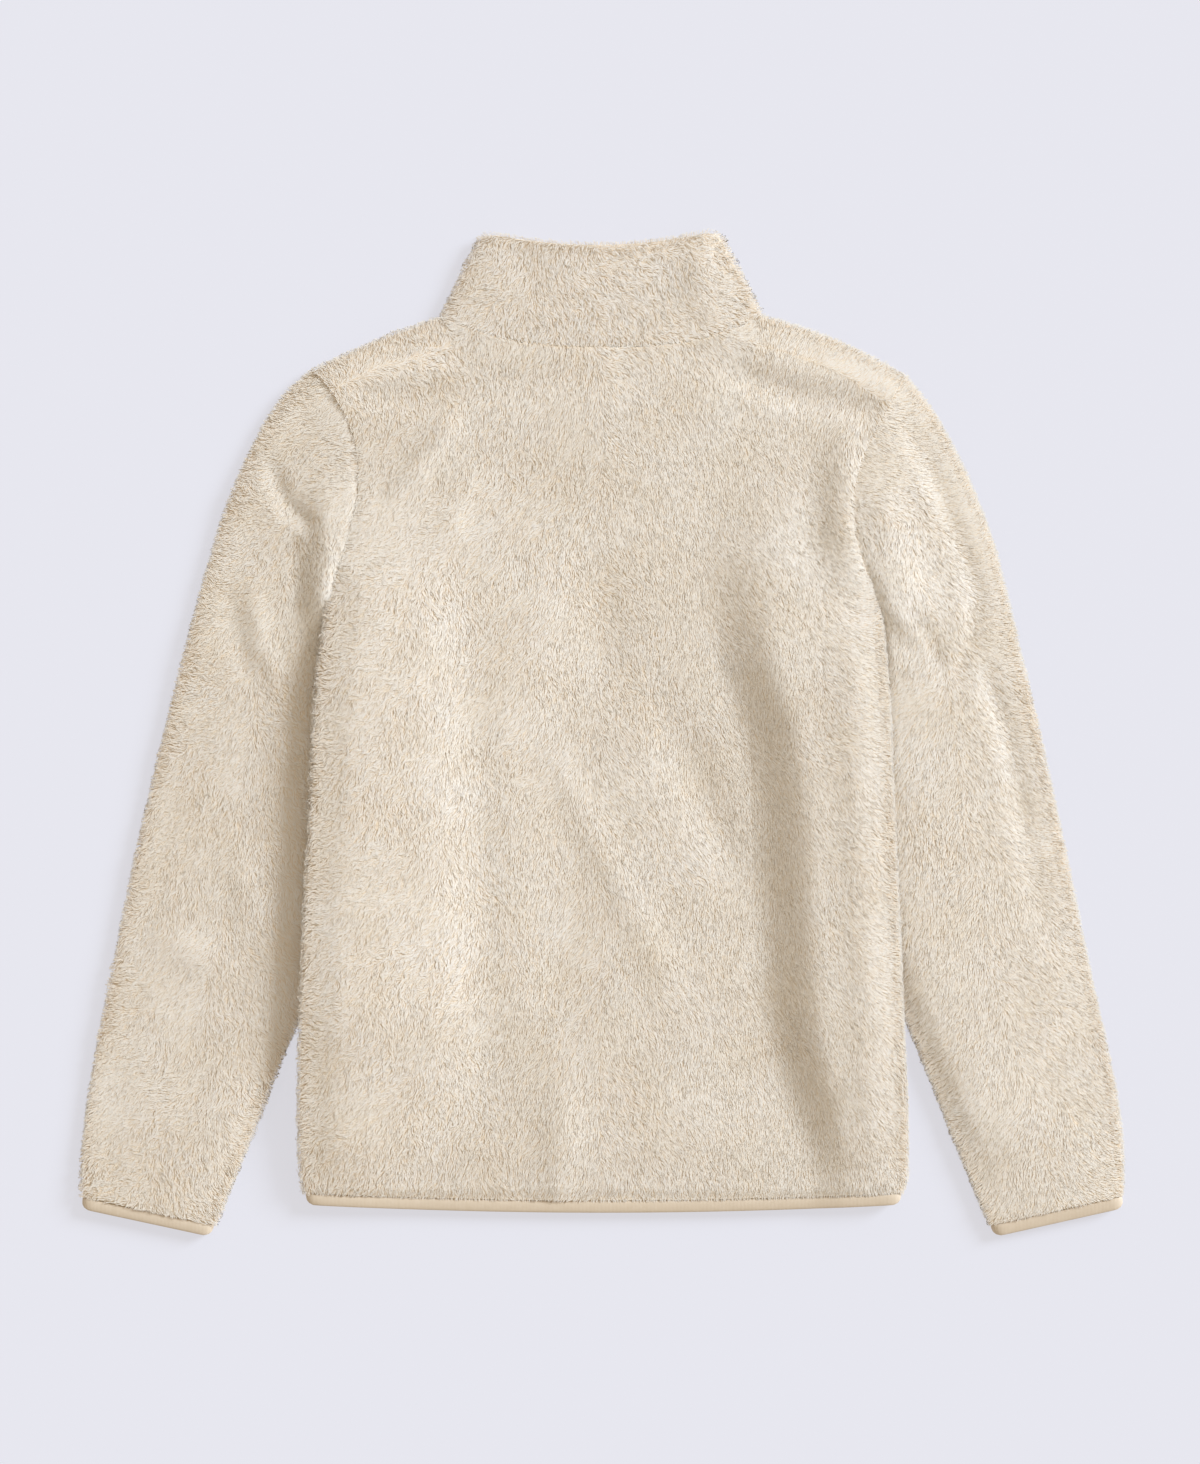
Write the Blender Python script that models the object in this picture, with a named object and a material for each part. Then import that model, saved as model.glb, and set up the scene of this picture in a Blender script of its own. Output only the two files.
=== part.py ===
"""Sherpa fleece pullover with a stand collar, laid out flat on its front.

Metres. +Z is up, +X runs from sleeve to sleeve and +Y from the hem to the collar. The origin is on
the surface the pullover lies on, under the middle of its outline. The front panel lies on that
surface, the back panel lies on the front, and each sleeve is a flattened tube whose underarm side
is tucked beneath the edge of the body. Left and right are as seen from above.
"""

import bmesh
import bpy
import numpy as np

# The fleece and how its pieces are joined.
WALL = 0.004  # knitted ground with the dense roots of its pile
SEAM_GAP = 0.0003  # between one piece and the next
RIM_EDGE = 0.0008  # thickness left where a wall is rounded away at a seam
RIM_RADIUS = 0.006  # how far in from a seam the rounding runs
BODY_PUFF = 0.003  # how far the back stands off the front away from the seams
BODY_PUFF_REACH = 0.030
SLEEVE_PUFF = 0.0025
SLEEVE_PUFF_REACH = 0.040
END_PUFF = 0.0008  # what is left of the puff at the hem, neck and cuffs
END_REACH = 0.045
CUFF_SHARE = 0.08  # the last part of a sleeve, over which its puff shrinks to that

# The body, seam to seam.
HEM_Y = -0.3375  # middle of the hem, where the binding starts
HEM_RISE = 0.006  # how much higher the hem is at the side seams
NECK_Y = 0.2775  # middle of the neck seam
NECK_POWER = 2.8  # how flat the neck seam is in the middle
SHOULDER_BOW_LEFT = 0.0022
SHOULDER_BOW_RIGHT = 0.0045
NECK_LEFT = (-0.1155, 0.2990)
NECK_RIGHT = (0.1145, 0.3000)
SHOULDER_LEFT = (-0.2100, 0.2600)
SHOULDER_RIGHT = (0.2180, 0.2570)
UNDERARM_LEFT = (-0.1965, 0.0950)
UNDERARM_RIGHT = (0.1995, 0.0930)
ARMHOLE_BOW = 0.0285  # how far the armhole cuts into the body
ARMHOLE_SKEW_LEFT = 0.75  # below 1 puts the deepest point nearer the shoulder
ARMHOLE_SKEW_RIGHT = 1.08

# The side seams between hem and underarm.
# (y, left x, right x)
SIDE_SEAMS = (
    (-0.3315, -0.2140, 0.2155),
    (-0.3180, -0.2165, 0.2188),
    (-0.2650, -0.2174, 0.2181),
    (-0.1930, -0.2152, 0.2145),
    (-0.1210, -0.2125, 0.2115),
    (-0.0490, -0.2080, 0.2080),
    (0.0230, -0.2052, 0.2052),
    (0.0940, -0.1965, 0.1995),
)

HEM_WIDTH = SIDE_SEAMS[0][2] - SIDE_SEAMS[0][1]

# Where the sleeves are tucked under it, the body's edge is lifted over them and their pile.
# The lift is whole from the edge to the end of the flat, and sinks to nothing over the fall.
# (y, flat, fall, height)
LIFT_LEFT = (
    (-0.3365, 0.014, 0.080, 0.0041),
    (-0.3100, 0.014, 0.095, 0.0065),
    (-0.2750, 0.014, 0.110, 0.0093),
    (-0.2350, 0.014, 0.150, 0.0126),
    (-0.2000, 0.014, 0.180, 0.0170),
    (-0.0500, 0.014, 0.190, 0.0180),
    (0.0500, 0.014, 0.190, 0.0135),
    (0.0900, 0.014, 0.190, 0.0110),
    (0.1200, 0.014, 0.180, 0.0078),
    (0.1500, 0.012, 0.170, 0.0060),
    (0.2100, 0.008, 0.120, 0.0000),
)
LIFT_RIGHT = (
    (-0.3365, 0.038, 0.028, 0.0030),
    (-0.3000, 0.042, 0.032, 0.0064),
    (-0.2500, 0.050, 0.040, 0.0108),
    (-0.2000, 0.056, 0.045, 0.0135),
    (-0.0500, 0.057, 0.046, 0.0135),
    (0.0000, 0.062, 0.046, 0.0130),
    (0.0500, 0.074, 0.048, 0.0105),
    (0.0900, 0.074, 0.050, 0.0075),
    (0.1300, 0.062, 0.056, 0.0050),
    (0.1800, 0.040, 0.060, 0.0025),
    (0.2300, 0.020, 0.060, 0.0000),
)

# The stand collar.
COLLAR_TOP_LEFT = (-0.0870, 0.3614)
COLLAR_TOP_RIGHT = (0.0843, 0.3628)
COLLAR_DIP = 0.0102  # how far the top edge sinks in the middle
COLLAR_CORNER = 0.0040  # how far its ends are rounded off

# The stretch bindings.
BINDING_WIDTH = 0.0085
BINDING_WALL = 0.003
BINDING_SET_IN = 0.0006  # how much thinner than the fleece it lies on each side

# A sleeve stays lifted beside its armhole seam, and comes down past a line beside the body and
# below the underarm.
# (how far out that line is, over which it comes down)
FALL_LEFT = (0.195, 0.028)
FALL_RIGHT = (0.200, 0.055)
UNDERARM_FALL = 0.032
ARMHOLE_FLAT = 0.018
ARMHOLE_FALL = 0.045

# Sleeve sections from the armhole to the cuff. Each runs from the outer edge to the underarm edge.
# The bow pushes the section's middle towards the body, as the seam does at the armhole.
# (outer x, outer y, underarm x, underarm y, bow)
SLEEVE_LEFT = (
    (*SHOULDER_LEFT, *UNDERARM_LEFT, ARMHOLE_BOW),
    (-0.2302, 0.2408, -0.1990, 0.0860, 0.0205),
    (-0.2496, 0.2094, -0.2003, 0.0760, 0.0150),
    (-0.2708, 0.1595, -0.1995, 0.0600, 0.0110),
    (-0.2870, 0.1065, -0.1950, 0.0360, 0.0050),
    (-0.3040, 0.0412, -0.1915, 0.0020, 0.0010),
    (-0.3190, -0.0190, -0.1915, -0.0400, 0.0),
    (-0.3355, -0.0910, -0.1945, -0.0980, 0.0),
    (-0.3512, -0.1680, -0.2040, -0.1655, 0.0),
    (-0.3652, -0.2380, -0.2345, -0.2390, 0.0),
    (-0.3730, -0.2905, -0.2540, -0.2895, 0.0),
    (-0.3750, -0.3348, -0.2802, -0.3552, 0.0),
)
SLEEVE_RIGHT = (
    (*SHOULDER_RIGHT, *UNDERARM_RIGHT, ARMHOLE_BOW),
    (0.2366, 0.2322, 0.2014, 0.0840, 0.0205),
    (0.2538, 0.2019, 0.2024, 0.0740, 0.0150),
    (0.2745, 0.1550, 0.2012, 0.0580, 0.0110),
    (0.2889, 0.1061, 0.1972, 0.0350, 0.0050),
    (0.3030, 0.0462, 0.1935, 0.0030, 0.0010),
    (0.3180, -0.0168, 0.1925, -0.0400, 0.0),
    (0.3338, -0.0908, 0.1950, -0.0980, 0.0),
    (0.3498, -0.1678, 0.2040, -0.1655, 0.0),
    (0.3650, -0.2372, 0.2332, -0.2390, 0.0),
    (0.3736, -0.2880, 0.2532, -0.2895, 0.0),
    (0.3750, -0.3342, 0.2800, -0.3554, 0.0),
)

# The largest folds, as soft troughs. Each row is a point that the fold runs through.
# (x, y, half width, depth)
FOLDS = {
    "foot of the right side drape": (
        (0.078, 0.080, 0.020, 0.0),
        (0.096, 0.023, 0.018, 0.0018),
        (0.116, -0.049, 0.014, 0.0028),
        (0.119, -0.121, 0.015, 0.0030),
        (0.124, -0.191, 0.014, 0.0030),
        (0.131, -0.257, 0.014, 0.0026),
        (0.150, -0.322, 0.016, 0.0010),
    ),
    "branch of the drape": (
        (0.052, 0.012, 0.018, 0.0),
        (0.083, -0.049, 0.015, 0.0020),
        (0.112, -0.110, 0.015, 0.0024),
    ),
    "centre crease": (
        (-0.040, -0.020, 0.018, 0.0),
        (-0.013, -0.062, 0.014, 0.0016),
        (0.005, -0.101, 0.014, 0.0020),
        (0.027, -0.164, 0.015, 0.0016),
        (0.042, -0.215, 0.018, 0.0),
    ),
    "left of centre": (
        (-0.074, 0.150, 0.026, 0.0),
        (-0.076, 0.060, 0.026, 0.0018),
        (-0.070, -0.040, 0.026, 0.0),
    ),
    "right shoulder": (
        (0.090, 0.268, 0.014, 0.0),
        (0.147, 0.250, 0.016, 0.0028),
        (0.200, 0.232, 0.016, 0.0020),
    ),
    "left shoulder": (
        (-0.108, 0.240, 0.016, 0.0),
        (-0.128, 0.210, 0.016, 0.0022),
        (-0.148, 0.182, 0.016, 0.0),
    ),
    "left sleeve head": (
        (-0.240, 0.206, 0.011, 0.0),
        (-0.222, 0.168, 0.012, 0.0026),
        (-0.202, 0.140, 0.012, 0.0014),
    ),
    "right sleeve head": (
        (0.243, 0.184, 0.011, 0.0),
        (0.264, 0.137, 0.012, 0.0026),
        (0.274, 0.092, 0.012, 0.0),
    ),
    "right sleeve elbow": (
        (0.284, 0.108, 0.011, 0.0),
        (0.268, 0.072, 0.012, 0.0024),
        (0.250, 0.036, 0.012, 0.0),
    ),
}

# How finely the pieces are divided.
SHOULDER_COLUMNS = 7
NECK_COLUMNS = 14
SIDE_ROWS = 11
ARMHOLE_ROWS = 12
SLEEVE_SECTIONS = 18
COLLAR_ROWS = 5
RIM_STEPS = (0.0015, 0.0045, 0.0100)  # distances from a seam that always get a line of points

FLEECE_COLOUR = (0.76, 0.68, 0.57, 1.0)
BINDING_COLOUR = (0.78, 0.68, 0.55, 1.0)


def smooth_step(value):
    """0 below 0, 1 above 1 and a soft rise between."""
    value = np.clip(value, 0.0, 1.0)
    return value * value * (3.0 - 2.0 * value)


def rounding(distance, radius=RIM_RADIUS):
    """The height of a quarter circle, 0 at its edge and 1 from radius on."""
    inside = np.clip(1.0 - distance / radius, 0.0, 1.0)
    return np.sqrt(1.0 - inside**2)


def through_rows(rows, count):
    """Rows at even steps along a smooth curve through the given rows (Catmull-Rom)."""
    rows = np.array(rows)
    held = np.vstack([2 * rows[0] - rows[1], rows, 2 * rows[-1] - rows[-2]])
    places = np.linspace(0.0, len(rows) - 1.0, count)
    found = []
    for place in places:
        first = min(int(place), len(rows) - 2)
        t = place - first
        a, b, c, d = held[first : first + 4]
        slope_b = (c - a) / 2
        slope_c = (d - b) / 2
        rise = c - b
        bend = 3 * rise - 2 * slope_b - slope_c
        twist = slope_b + slope_c - 2 * rise
        found.append(b + t * (slope_b + t * (bend + t * twist)))
    return np.array(found)


def rim_spaced(length, count):
    """Shares from 0 to 1 along a length, close together near both ends and even between."""
    near = np.array((0.0, *RIM_STEPS)) / length
    between = np.linspace(near[-1], 1.0 - near[-1], max(count - 2 * len(RIM_STEPS), 1) + 1)
    return np.concatenate([near[:-1], between, 1.0 - near[-2::-1]])


def one_rim_spaced(length, count):
    """Shares from 0 to 1 along a length, close together near its start only."""
    near = np.array((0.0, *RIM_STEPS)) / length
    return np.concatenate([near[:-1], np.linspace(near[-1], 1.0, count - len(RIM_STEPS) + 1)])


def distance_to_line(points, line):
    """How far each point is from a line of straight pieces, with the piece and share it is nearest."""
    start = line[:-1]
    run = line[1:] - start
    away = points[..., None, :] - start
    share = np.clip((away * run).sum(-1) / (run * run).sum(-1), 0.0, 1.0)
    gap = np.linalg.norm(away - share[..., None] * run, axis=-1)
    piece = gap.argmin(-1)
    take = piece[..., None]
    return (
        np.take_along_axis(gap, take, -1)[..., 0],
        piece,
        np.take_along_axis(share, take, -1)[..., 0],
    )


def fold_depth(points):
    """How far the folds press the cloth down at each point."""
    deepest = np.zeros(points.shape[:-1])
    for rows in FOLDS.values():
        rows = np.array(rows)
        gap, piece, share = distance_to_line(points, rows[:, :2])
        half_width = rows[piece, 2] + share * (rows[piece + 1, 2] - rows[piece, 2])
        depth = rows[piece, 3] + share * (rows[piece + 1, 3] - rows[piece, 3])
        deepest = np.maximum(deepest, depth * np.exp(-((gap / half_width) ** 2)))
    return deepest


def armhole_points(shoulder, underarm, bow, skew, shares):
    """Points from the shoulder to the underarm, bowed towards the centre line."""
    shoulder = np.array(shoulder)
    underarm = np.array(underarm)
    line = shoulder + shares[:, None] * (underarm - shoulder)
    inward = -np.sign(shoulder[0])
    line[:, 0] += inward * bow * np.sin(np.pi * shares**skew)
    return line


def shoulder_points(neck, shoulder, bow, shares):
    """Points from the shoulder tip to the neck, slightly bowed outward."""
    neck = np.array(neck)
    shoulder = np.array(shoulder)
    line = shoulder + shares[:, None] * (neck - shoulder)
    line[:, 1] += bow * np.sin(np.pi * shares)
    return line


def neck_points(shares):
    """Points along the neck seam, from left to right."""
    left = np.array(NECK_LEFT)
    right = np.array(NECK_RIGHT)
    line = left + shares[:, None] * (right - left)
    drop = line[:, 1] - NECK_Y
    line[:, 1] -= drop * (1.0 - np.abs(2.0 * shares - 1.0) ** NECK_POWER)
    return line


def hem_points(shares):
    """Points along the hem, from left to right."""
    x = SIDE_SEAMS[0][1] + shares * HEM_WIDTH
    y = HEM_Y + HEM_RISE * np.abs(2.0 * shares - 1.0) ** 2
    return np.stack([x, y], 1)


def side_points(side, underarm, count):
    """Points up a side seam, from the hem to the underarm. side is 1 for the left and 2 for the right."""
    rows = [(row[side], row[0]) for row in SIDE_SEAMS[:-1]] + [underarm]
    return through_rows(rows, count)


def length_of(line):
    return float(np.linalg.norm(np.diff(line, axis=0), axis=1).sum())


# The seams, each sampled once, so that the pieces on both sides of it match.
NECK_SHARES = rim_spaced(NECK_RIGHT[0] - NECK_LEFT[0], NECK_COLUMNS)
ARMHOLE_SHARES = rim_spaced(SHOULDER_LEFT[1] - UNDERARM_LEFT[1], ARMHOLE_ROWS)
SHOULDER_SHARES = one_rim_spaced(NECK_LEFT[0] - SHOULDER_LEFT[0], SHOULDER_COLUMNS)
SIDE_LEFT = side_points(1, UNDERARM_LEFT, SIDE_ROWS + 1)
SIDE_RIGHT = side_points(2, UNDERARM_RIGHT, SIDE_ROWS + 1)
SHOULDER_SEAM_LEFT = shoulder_points(NECK_LEFT, SHOULDER_LEFT, SHOULDER_BOW_LEFT, SHOULDER_SHARES)
SHOULDER_SEAM_RIGHT = shoulder_points(
    NECK_RIGHT, SHOULDER_RIGHT, SHOULDER_BOW_RIGHT, SHOULDER_SHARES)[::-1]


def lift_from(points, edge, rows):
    """The lift inward from one edge of the body, a line of points going up."""
    y, flat, fall, height = np.array(rows).T
    at = points[..., 1]
    inward = np.abs(points[..., 0] - np.interp(at, edge[:, 1], edge[:, 0]))
    sunk = smooth_step((inward - np.interp(at, y, flat)) / np.interp(at, y, fall))
    share = np.interp(at, y, height) / max(height)
    return max(height) * smooth_step(share) * (1.0 - sunk)


def side_lift(points, left, right):
    """How far the body is lifted at each point by the sleeves tucked beneath its edges."""
    return np.maximum(lift_from(points, left, LIFT_LEFT), lift_from(points, right, LIFT_RIGHT))


def seam_distance(points):
    """How far each point is from the nearest side or shoulder seam."""
    seams = (SIDE_LEFT, SIDE_RIGHT, SHOULDER_SEAM_LEFT, SHOULDER_SEAM_RIGHT)
    return np.min([distance_to_line(points, seam)[0] for seam in seams], axis=0)


def body_puff(points):
    """The height of the air between front and back."""
    ends = np.minimum(points[..., 1] - HEM_Y, NECK_Y - points[..., 1])
    puff = END_PUFF + (BODY_PUFF - END_PUFF) * smooth_step(ends / END_REACH)
    puff = np.maximum(puff - fold_depth(points), 0.0)
    return puff * smooth_step(seam_distance(points) / BODY_PUFF_REACH)


def body_grid():
    """The body's points from above, in rows from hem to shoulders, blended from its four edges.

    Also gives its left and right edges.
    """
    top = np.vstack([SHOULDER_SEAM_LEFT[:-1], neck_points(NECK_SHARES), SHOULDER_SEAM_RIGHT[1:]])
    across = (top[:, 0] - top[0, 0]) / (top[-1, 0] - top[0, 0])
    edge = np.array((0.0, *RIM_STEPS)) / HEM_WIDTH
    hem_shares = across.copy()
    hem_shares[: len(edge)] = edge
    hem_shares[-len(edge) :] = 1.0 - edge[::-1]
    hem = hem_points(hem_shares)
    bow = ARMHOLE_BOW
    armhole_left = armhole_points(SHOULDER_LEFT, UNDERARM_LEFT, bow, ARMHOLE_SKEW_LEFT, ARMHOLE_SHARES)
    armhole_right = armhole_points(SHOULDER_RIGHT, UNDERARM_RIGHT, bow, ARMHOLE_SKEW_RIGHT, ARMHOLE_SHARES)
    left = np.vstack([SIDE_LEFT[:-1], armhole_left[::-1]])
    right = np.vstack([SIDE_RIGHT[:-1], armhole_right[::-1]])
    up = (left[:, 1] - left[0, 1]) / (left[-1, 1] - left[0, 1])
    # Columns keep the hem's spacing low on the body and take the shoulders' spacing towards the top.
    share = hem_shares + (across - hem_shares) * up[:, None] ** 2
    share = share[..., None]
    rise = up[:, None, None]
    corners = (
        (1 - share) * (1 - rise) * hem[0] + share * (1 - rise) * hem[-1]
        + (1 - share) * rise * top[0] + share * rise * top[-1]
    )
    ends = (1 - rise) * hem[None] + rise * top[None]
    sides = (1 - share) * left[:, None] + share * right[:, None]
    return ends + sides - corners, left, right


def new_object(name, points, faces, material):
    """A closed mesh whose faces all point out."""
    mesh = bpy.data.meshes.new(name)
    mesh.from_pydata([tuple(point) for point in points], [], faces)
    turned = bmesh.new()
    turned.from_mesh(mesh)
    bmesh.ops.recalc_face_normals(turned, faces=turned.faces)
    turned.to_mesh(mesh)
    turned.free()
    mesh.materials.append(material)
    mesh.shade_smooth()
    mesh.set_sharp_from_angle(angle=np.radians(50))
    made = bpy.data.objects.new(name, mesh)
    bpy.context.collection.objects.link(made)
    return made


def panel(name, grid, low, high, material):
    """A wall over a grid of points, between two heights at each point."""
    rows, columns = grid.shape[:2]
    count = rows * columns
    points = np.vstack([
        np.concatenate([grid, low[..., None]], -1).reshape(count, 3),
        np.concatenate([grid, high[..., None]], -1).reshape(count, 3),
    ])
    index = np.arange(count).reshape(rows, columns)
    faces = []
    for row in range(rows - 1):
        for column in range(columns - 1):
            a, b = int(index[row, column]), int(index[row, column + 1])
            d, c = int(index[row + 1, column]), int(index[row + 1, column + 1])
            faces.append((a, d, c, b))
            faces.append((a + count, b + count, c + count, d + count))
    round_the_edge = np.concatenate([index[0, :-1], index[:-1, -1], index[-1, :0:-1], index[:0:-1, 0]])
    for here, after in zip(round_the_edge, np.roll(round_the_edge, -1), strict=True):
        faces.append((int(here), int(after), int(after) + count, int(here) + count))
    return new_object(name, points, faces, material)


def tube(name, outer, inner, material):
    """A wall between an outer and an inner run of rings, closed by a flat edge at each end."""
    sections, around = outer.shape[:2]
    count = sections * around
    points = np.vstack([outer.reshape(count, 3), inner.reshape(count, 3)])
    index = np.arange(count).reshape(sections, around)
    faces = []
    for section in range(sections - 1):
        for here in range(around):
            after = (here + 1) % around
            a, b = int(index[section, here]), int(index[section, after])
            d, c = int(index[section + 1, here]), int(index[section + 1, after])
            faces.append((a, b, c, d))
            faces.append((a + count, d + count, c + count, b + count))
    for here in range(around):
        after = (here + 1) % around
        a, b = int(index[0, here]), int(index[0, after])
        faces.append((a, a + count, b + count, b))
        a, b = int(index[-1, here]), int(index[-1, after])
        faces.append((a, b, b + count, a + count))
    return new_object(name, points, faces, material)


def lies_flat(across):
    return np.zeros(len(across))


def flat_ring(line, shares, puff, rise=lies_flat, wall=WALL, set_in=0.0):
    """An outer and an inner ring round a flattened tube, which lies on the surface along a line.

    line gives a point for a share of the way across, puff the air inside and rise how far the ring
    is held off the surface. It goes over the top from the first end to the last and comes back
    underneath.
    """
    across = line(shares)
    rise = rise(across)
    width = length_of(across)
    middle = WALL + SEAM_GAP / 2
    from_end = np.minimum(shares, 1.0 - shares) * width
    puff = puff(across, from_end)
    full = rounding(from_end)
    top = rise + middle + (middle - set_in + puff) * full
    bottom = rise + middle - (middle - set_in) * full
    outer = np.vstack([
        np.column_stack([across, top]),
        np.column_stack([across, bottom])[-2:0:-1],
    ])
    inner_shares = wall / width + shares * (1.0 - 2.0 * wall / width)
    within = np.stack([np.interp(inner_shares, shares, column) for column in across.T], 1)
    hollow = WALL - wall - set_in + SEAM_GAP / 2
    inner_rise = np.interp(inner_shares, shares, rise)
    inner_top = inner_rise + middle + (hollow + puff) * full
    inner_bottom = inner_rise + middle - hollow * full
    inner = np.vstack([
        np.column_stack([within, inner_top]),
        np.column_stack([within, inner_bottom])[-2:0:-1],
    ])
    return outer, inner


def sleeve_puff(end_share):
    """The air inside a sleeve, for a section that far from the armhole to the cuff."""
    at_end = END_PUFF + (SLEEVE_PUFF - END_PUFF) * smooth_step((1.0 - end_share) / CUFF_SHARE)

    def puff(across, from_end):
        swell = at_end * smooth_step(from_end / SLEEVE_PUFF_REACH)
        return np.maximum(swell - fold_depth(across), 0.0)

    return puff


def sleeve(name, rows, skew, seam, seam_lift, fall, material):
    """A sleeve: flattened rings from the armhole to the cuff.

    It comes down from its armhole seam, which is lifted with the body.
    """
    sections = through_rows(rows, SLEEVE_SECTIONS)
    outward = np.sign(sections[0, 0])

    def rise(across):
        gap, piece, share = distance_to_line(across, seam)
        lifted = seam_lift[piece] + share * (seam_lift[piece + 1] - seam_lift[piece])
        down = 1.0 - smooth_step((np.abs(across[..., 0]) - fall[0]) / fall[1])
        down = down * (1.0 - smooth_step((seam[0, 1] - across[..., 1]) / UNDERARM_FALL))
        return lifted * down * (1.0 - smooth_step((gap - ARMHOLE_FLAT) / ARMHOLE_FALL))

    outer, inner = [], []
    for number, row in enumerate(sections):
        shift = (outward * 2.5 * SEAM_GAP, 0.0) if number == 0 else (0.0, 0.0)

        def line(shares, row=row, shift=shift):
            return armhole_points(row[:2], row[2:4], row[4], skew, shares) + shift

        rings = flat_ring(line, ARMHOLE_SHARES, sleeve_puff(number / (SLEEVE_SECTIONS - 1)), rise)
        outer.append(rings[0])
        inner.append(rings[1])
    return tube(name, np.array(outer), np.array(inner), material)


def edge_puff(across, from_end):
    """The little air inside the collar and the bindings."""
    return END_PUFF * smooth_step(from_end / BODY_PUFF_REACH)


def cuff_binding(name, rows, material):
    """The binding beyond the last section of a sleeve."""
    outer_end = np.array(rows[-1][:2])
    underarm_end = np.array(rows[-1][2:4])
    across = underarm_end - outer_end
    outward = np.sign(outer_end[0])
    along = np.array([-across[1], across[0]]) / np.linalg.norm(across) * outward
    outer, inner = [], []
    for reach, tuck in binding_steps():

        def line(shares, reach=reach):
            return outer_end + shares[:, None] * across + reach * along

        set_in = BINDING_SET_IN + tuck
        rings = flat_ring(line, ARMHOLE_SHARES, edge_puff, wall=BINDING_WALL, set_in=set_in)
        outer.append(rings[0])
        inner.append(rings[1])
    return tube(name, np.array(outer), np.array(inner), material)


def binding_steps():
    """How far each ring of a binding is from the cloth, and how far its outside is drawn in there."""
    bend = BINDING_WALL / 3
    return (
        (SEAM_GAP, bend / 2),
        (SEAM_GAP + bend, 0.0),
        (SEAM_GAP + BINDING_WIDTH - bend, 0.0),
        (SEAM_GAP + BINDING_WIDTH, bend / 2),
    )


def hem_binding(shares, hem_lift, material):
    """The binding round the hem, below both panels and lifted with them."""
    outer, inner = [], []

    def rise(across):
        return np.interp(across[:, 0], hem_points(shares)[:, 0], hem_lift)

    for reach, tuck in binding_steps():

        def line(found, reach=reach):
            return hem_points(found) - (0.0, reach)

        set_in = BINDING_SET_IN + tuck
        rings = flat_ring(line, shares, edge_puff, rise, BINDING_WALL, set_in)
        outer.append(rings[0])
        inner.append(rings[1])
    return tube("hem_binding", np.array(outer), np.array(inner), material)


def collar(material):
    """The stand collar: flattened rings from the neck seam up to its top edge."""
    outer, inner = [], []
    for height in np.linspace(0.0, 1.0, COLLAR_ROWS + 1):

        def line(shares, height=height):
            low = neck_points(shares) + (0.0, 1.5 * SEAM_GAP)
            left = np.array(COLLAR_TOP_LEFT)
            right = np.array(COLLAR_TOP_RIGHT)
            high = left + shares[:, None] * (right - left)
            from_middle = np.abs(2.0 * shares - 1.0)
            high[:, 1] -= COLLAR_DIP * (1.0 - from_middle**2) + COLLAR_CORNER * from_middle**16
            return low + height * (high - low)

        rings = flat_ring(line, NECK_SHARES, edge_puff)
        outer.append(rings[0])
        inner.append(rings[1])
    return tube("collar", np.array(outer), np.array(inner), material)


def new_material(name, colour, roughness):
    made = bpy.data.materials.new(name)
    made.use_nodes = True
    shader = made.node_tree.nodes["Principled BSDF"]
    shader.inputs["Base Color"].default_value = colour
    shader.inputs["Roughness"].default_value = roughness
    shader.inputs["Metallic"].default_value = 0.0
    made.diffuse_color = colour
    return made


for old in list(bpy.data.objects):
    bpy.data.objects.remove(old)

fleece = new_material("fleece", FLEECE_COLOUR, 0.95)
binding = new_material("binding", BINDING_COLOUR, 0.75)

body, left_edge, right_edge = body_grid()
lift = side_lift(body, left_edge, right_edge)
full = rounding(seam_distance(body))
worn_away = (WALL - RIM_EDGE) * (1.0 - full)
front_top = lift + WALL
back_bottom = front_top + SEAM_GAP + body_puff(body)
panel("front_panel", body, lift + worn_away, front_top, fleece)
panel("back_panel", body, back_bottom, back_bottom + WALL - worn_away, fleece)
armhole = slice(SIDE_ROWS, None)
left_seam, left_lift = left_edge[armhole], lift[armhole, 0]
right_seam, right_lift = right_edge[armhole], lift[armhole, -1]
sleeve("sleeve_left", SLEEVE_LEFT, ARMHOLE_SKEW_LEFT, left_seam, left_lift, FALL_LEFT, fleece)
sleeve("sleeve_right", SLEEVE_RIGHT, ARMHOLE_SKEW_RIGHT, right_seam, right_lift, FALL_RIGHT, fleece)
collar(fleece)
hem_binding((body[0, :, 0] - SIDE_SEAMS[0][1]) / HEM_WIDTH, lift[0], binding)
cuff_binding("cuff_binding_left", SLEEVE_LEFT, binding)
cuff_binding("cuff_binding_right", SLEEVE_RIGHT, binding)
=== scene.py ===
import bpy
import numpy as np
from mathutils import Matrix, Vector, noise


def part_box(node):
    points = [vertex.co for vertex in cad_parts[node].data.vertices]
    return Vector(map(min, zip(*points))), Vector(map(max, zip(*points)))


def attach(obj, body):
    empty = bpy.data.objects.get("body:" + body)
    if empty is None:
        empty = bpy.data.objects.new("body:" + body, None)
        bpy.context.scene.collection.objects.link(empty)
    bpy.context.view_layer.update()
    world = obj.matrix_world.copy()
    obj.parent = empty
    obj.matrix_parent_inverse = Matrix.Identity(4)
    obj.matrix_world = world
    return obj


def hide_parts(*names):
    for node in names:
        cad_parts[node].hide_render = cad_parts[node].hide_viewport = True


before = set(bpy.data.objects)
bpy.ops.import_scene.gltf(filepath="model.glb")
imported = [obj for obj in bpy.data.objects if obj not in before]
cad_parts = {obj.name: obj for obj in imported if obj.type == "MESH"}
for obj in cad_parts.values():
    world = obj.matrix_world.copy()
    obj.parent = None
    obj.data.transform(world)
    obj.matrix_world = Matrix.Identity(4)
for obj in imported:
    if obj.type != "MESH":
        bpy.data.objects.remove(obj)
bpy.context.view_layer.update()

# A pullover of sherpa fleece, laid out on its front. Metres, +Z up, the collar towards +Y, and left
# and right as seen from above. All of it is cloth, so every piece rides on the one body.
BODY = "root"

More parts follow.
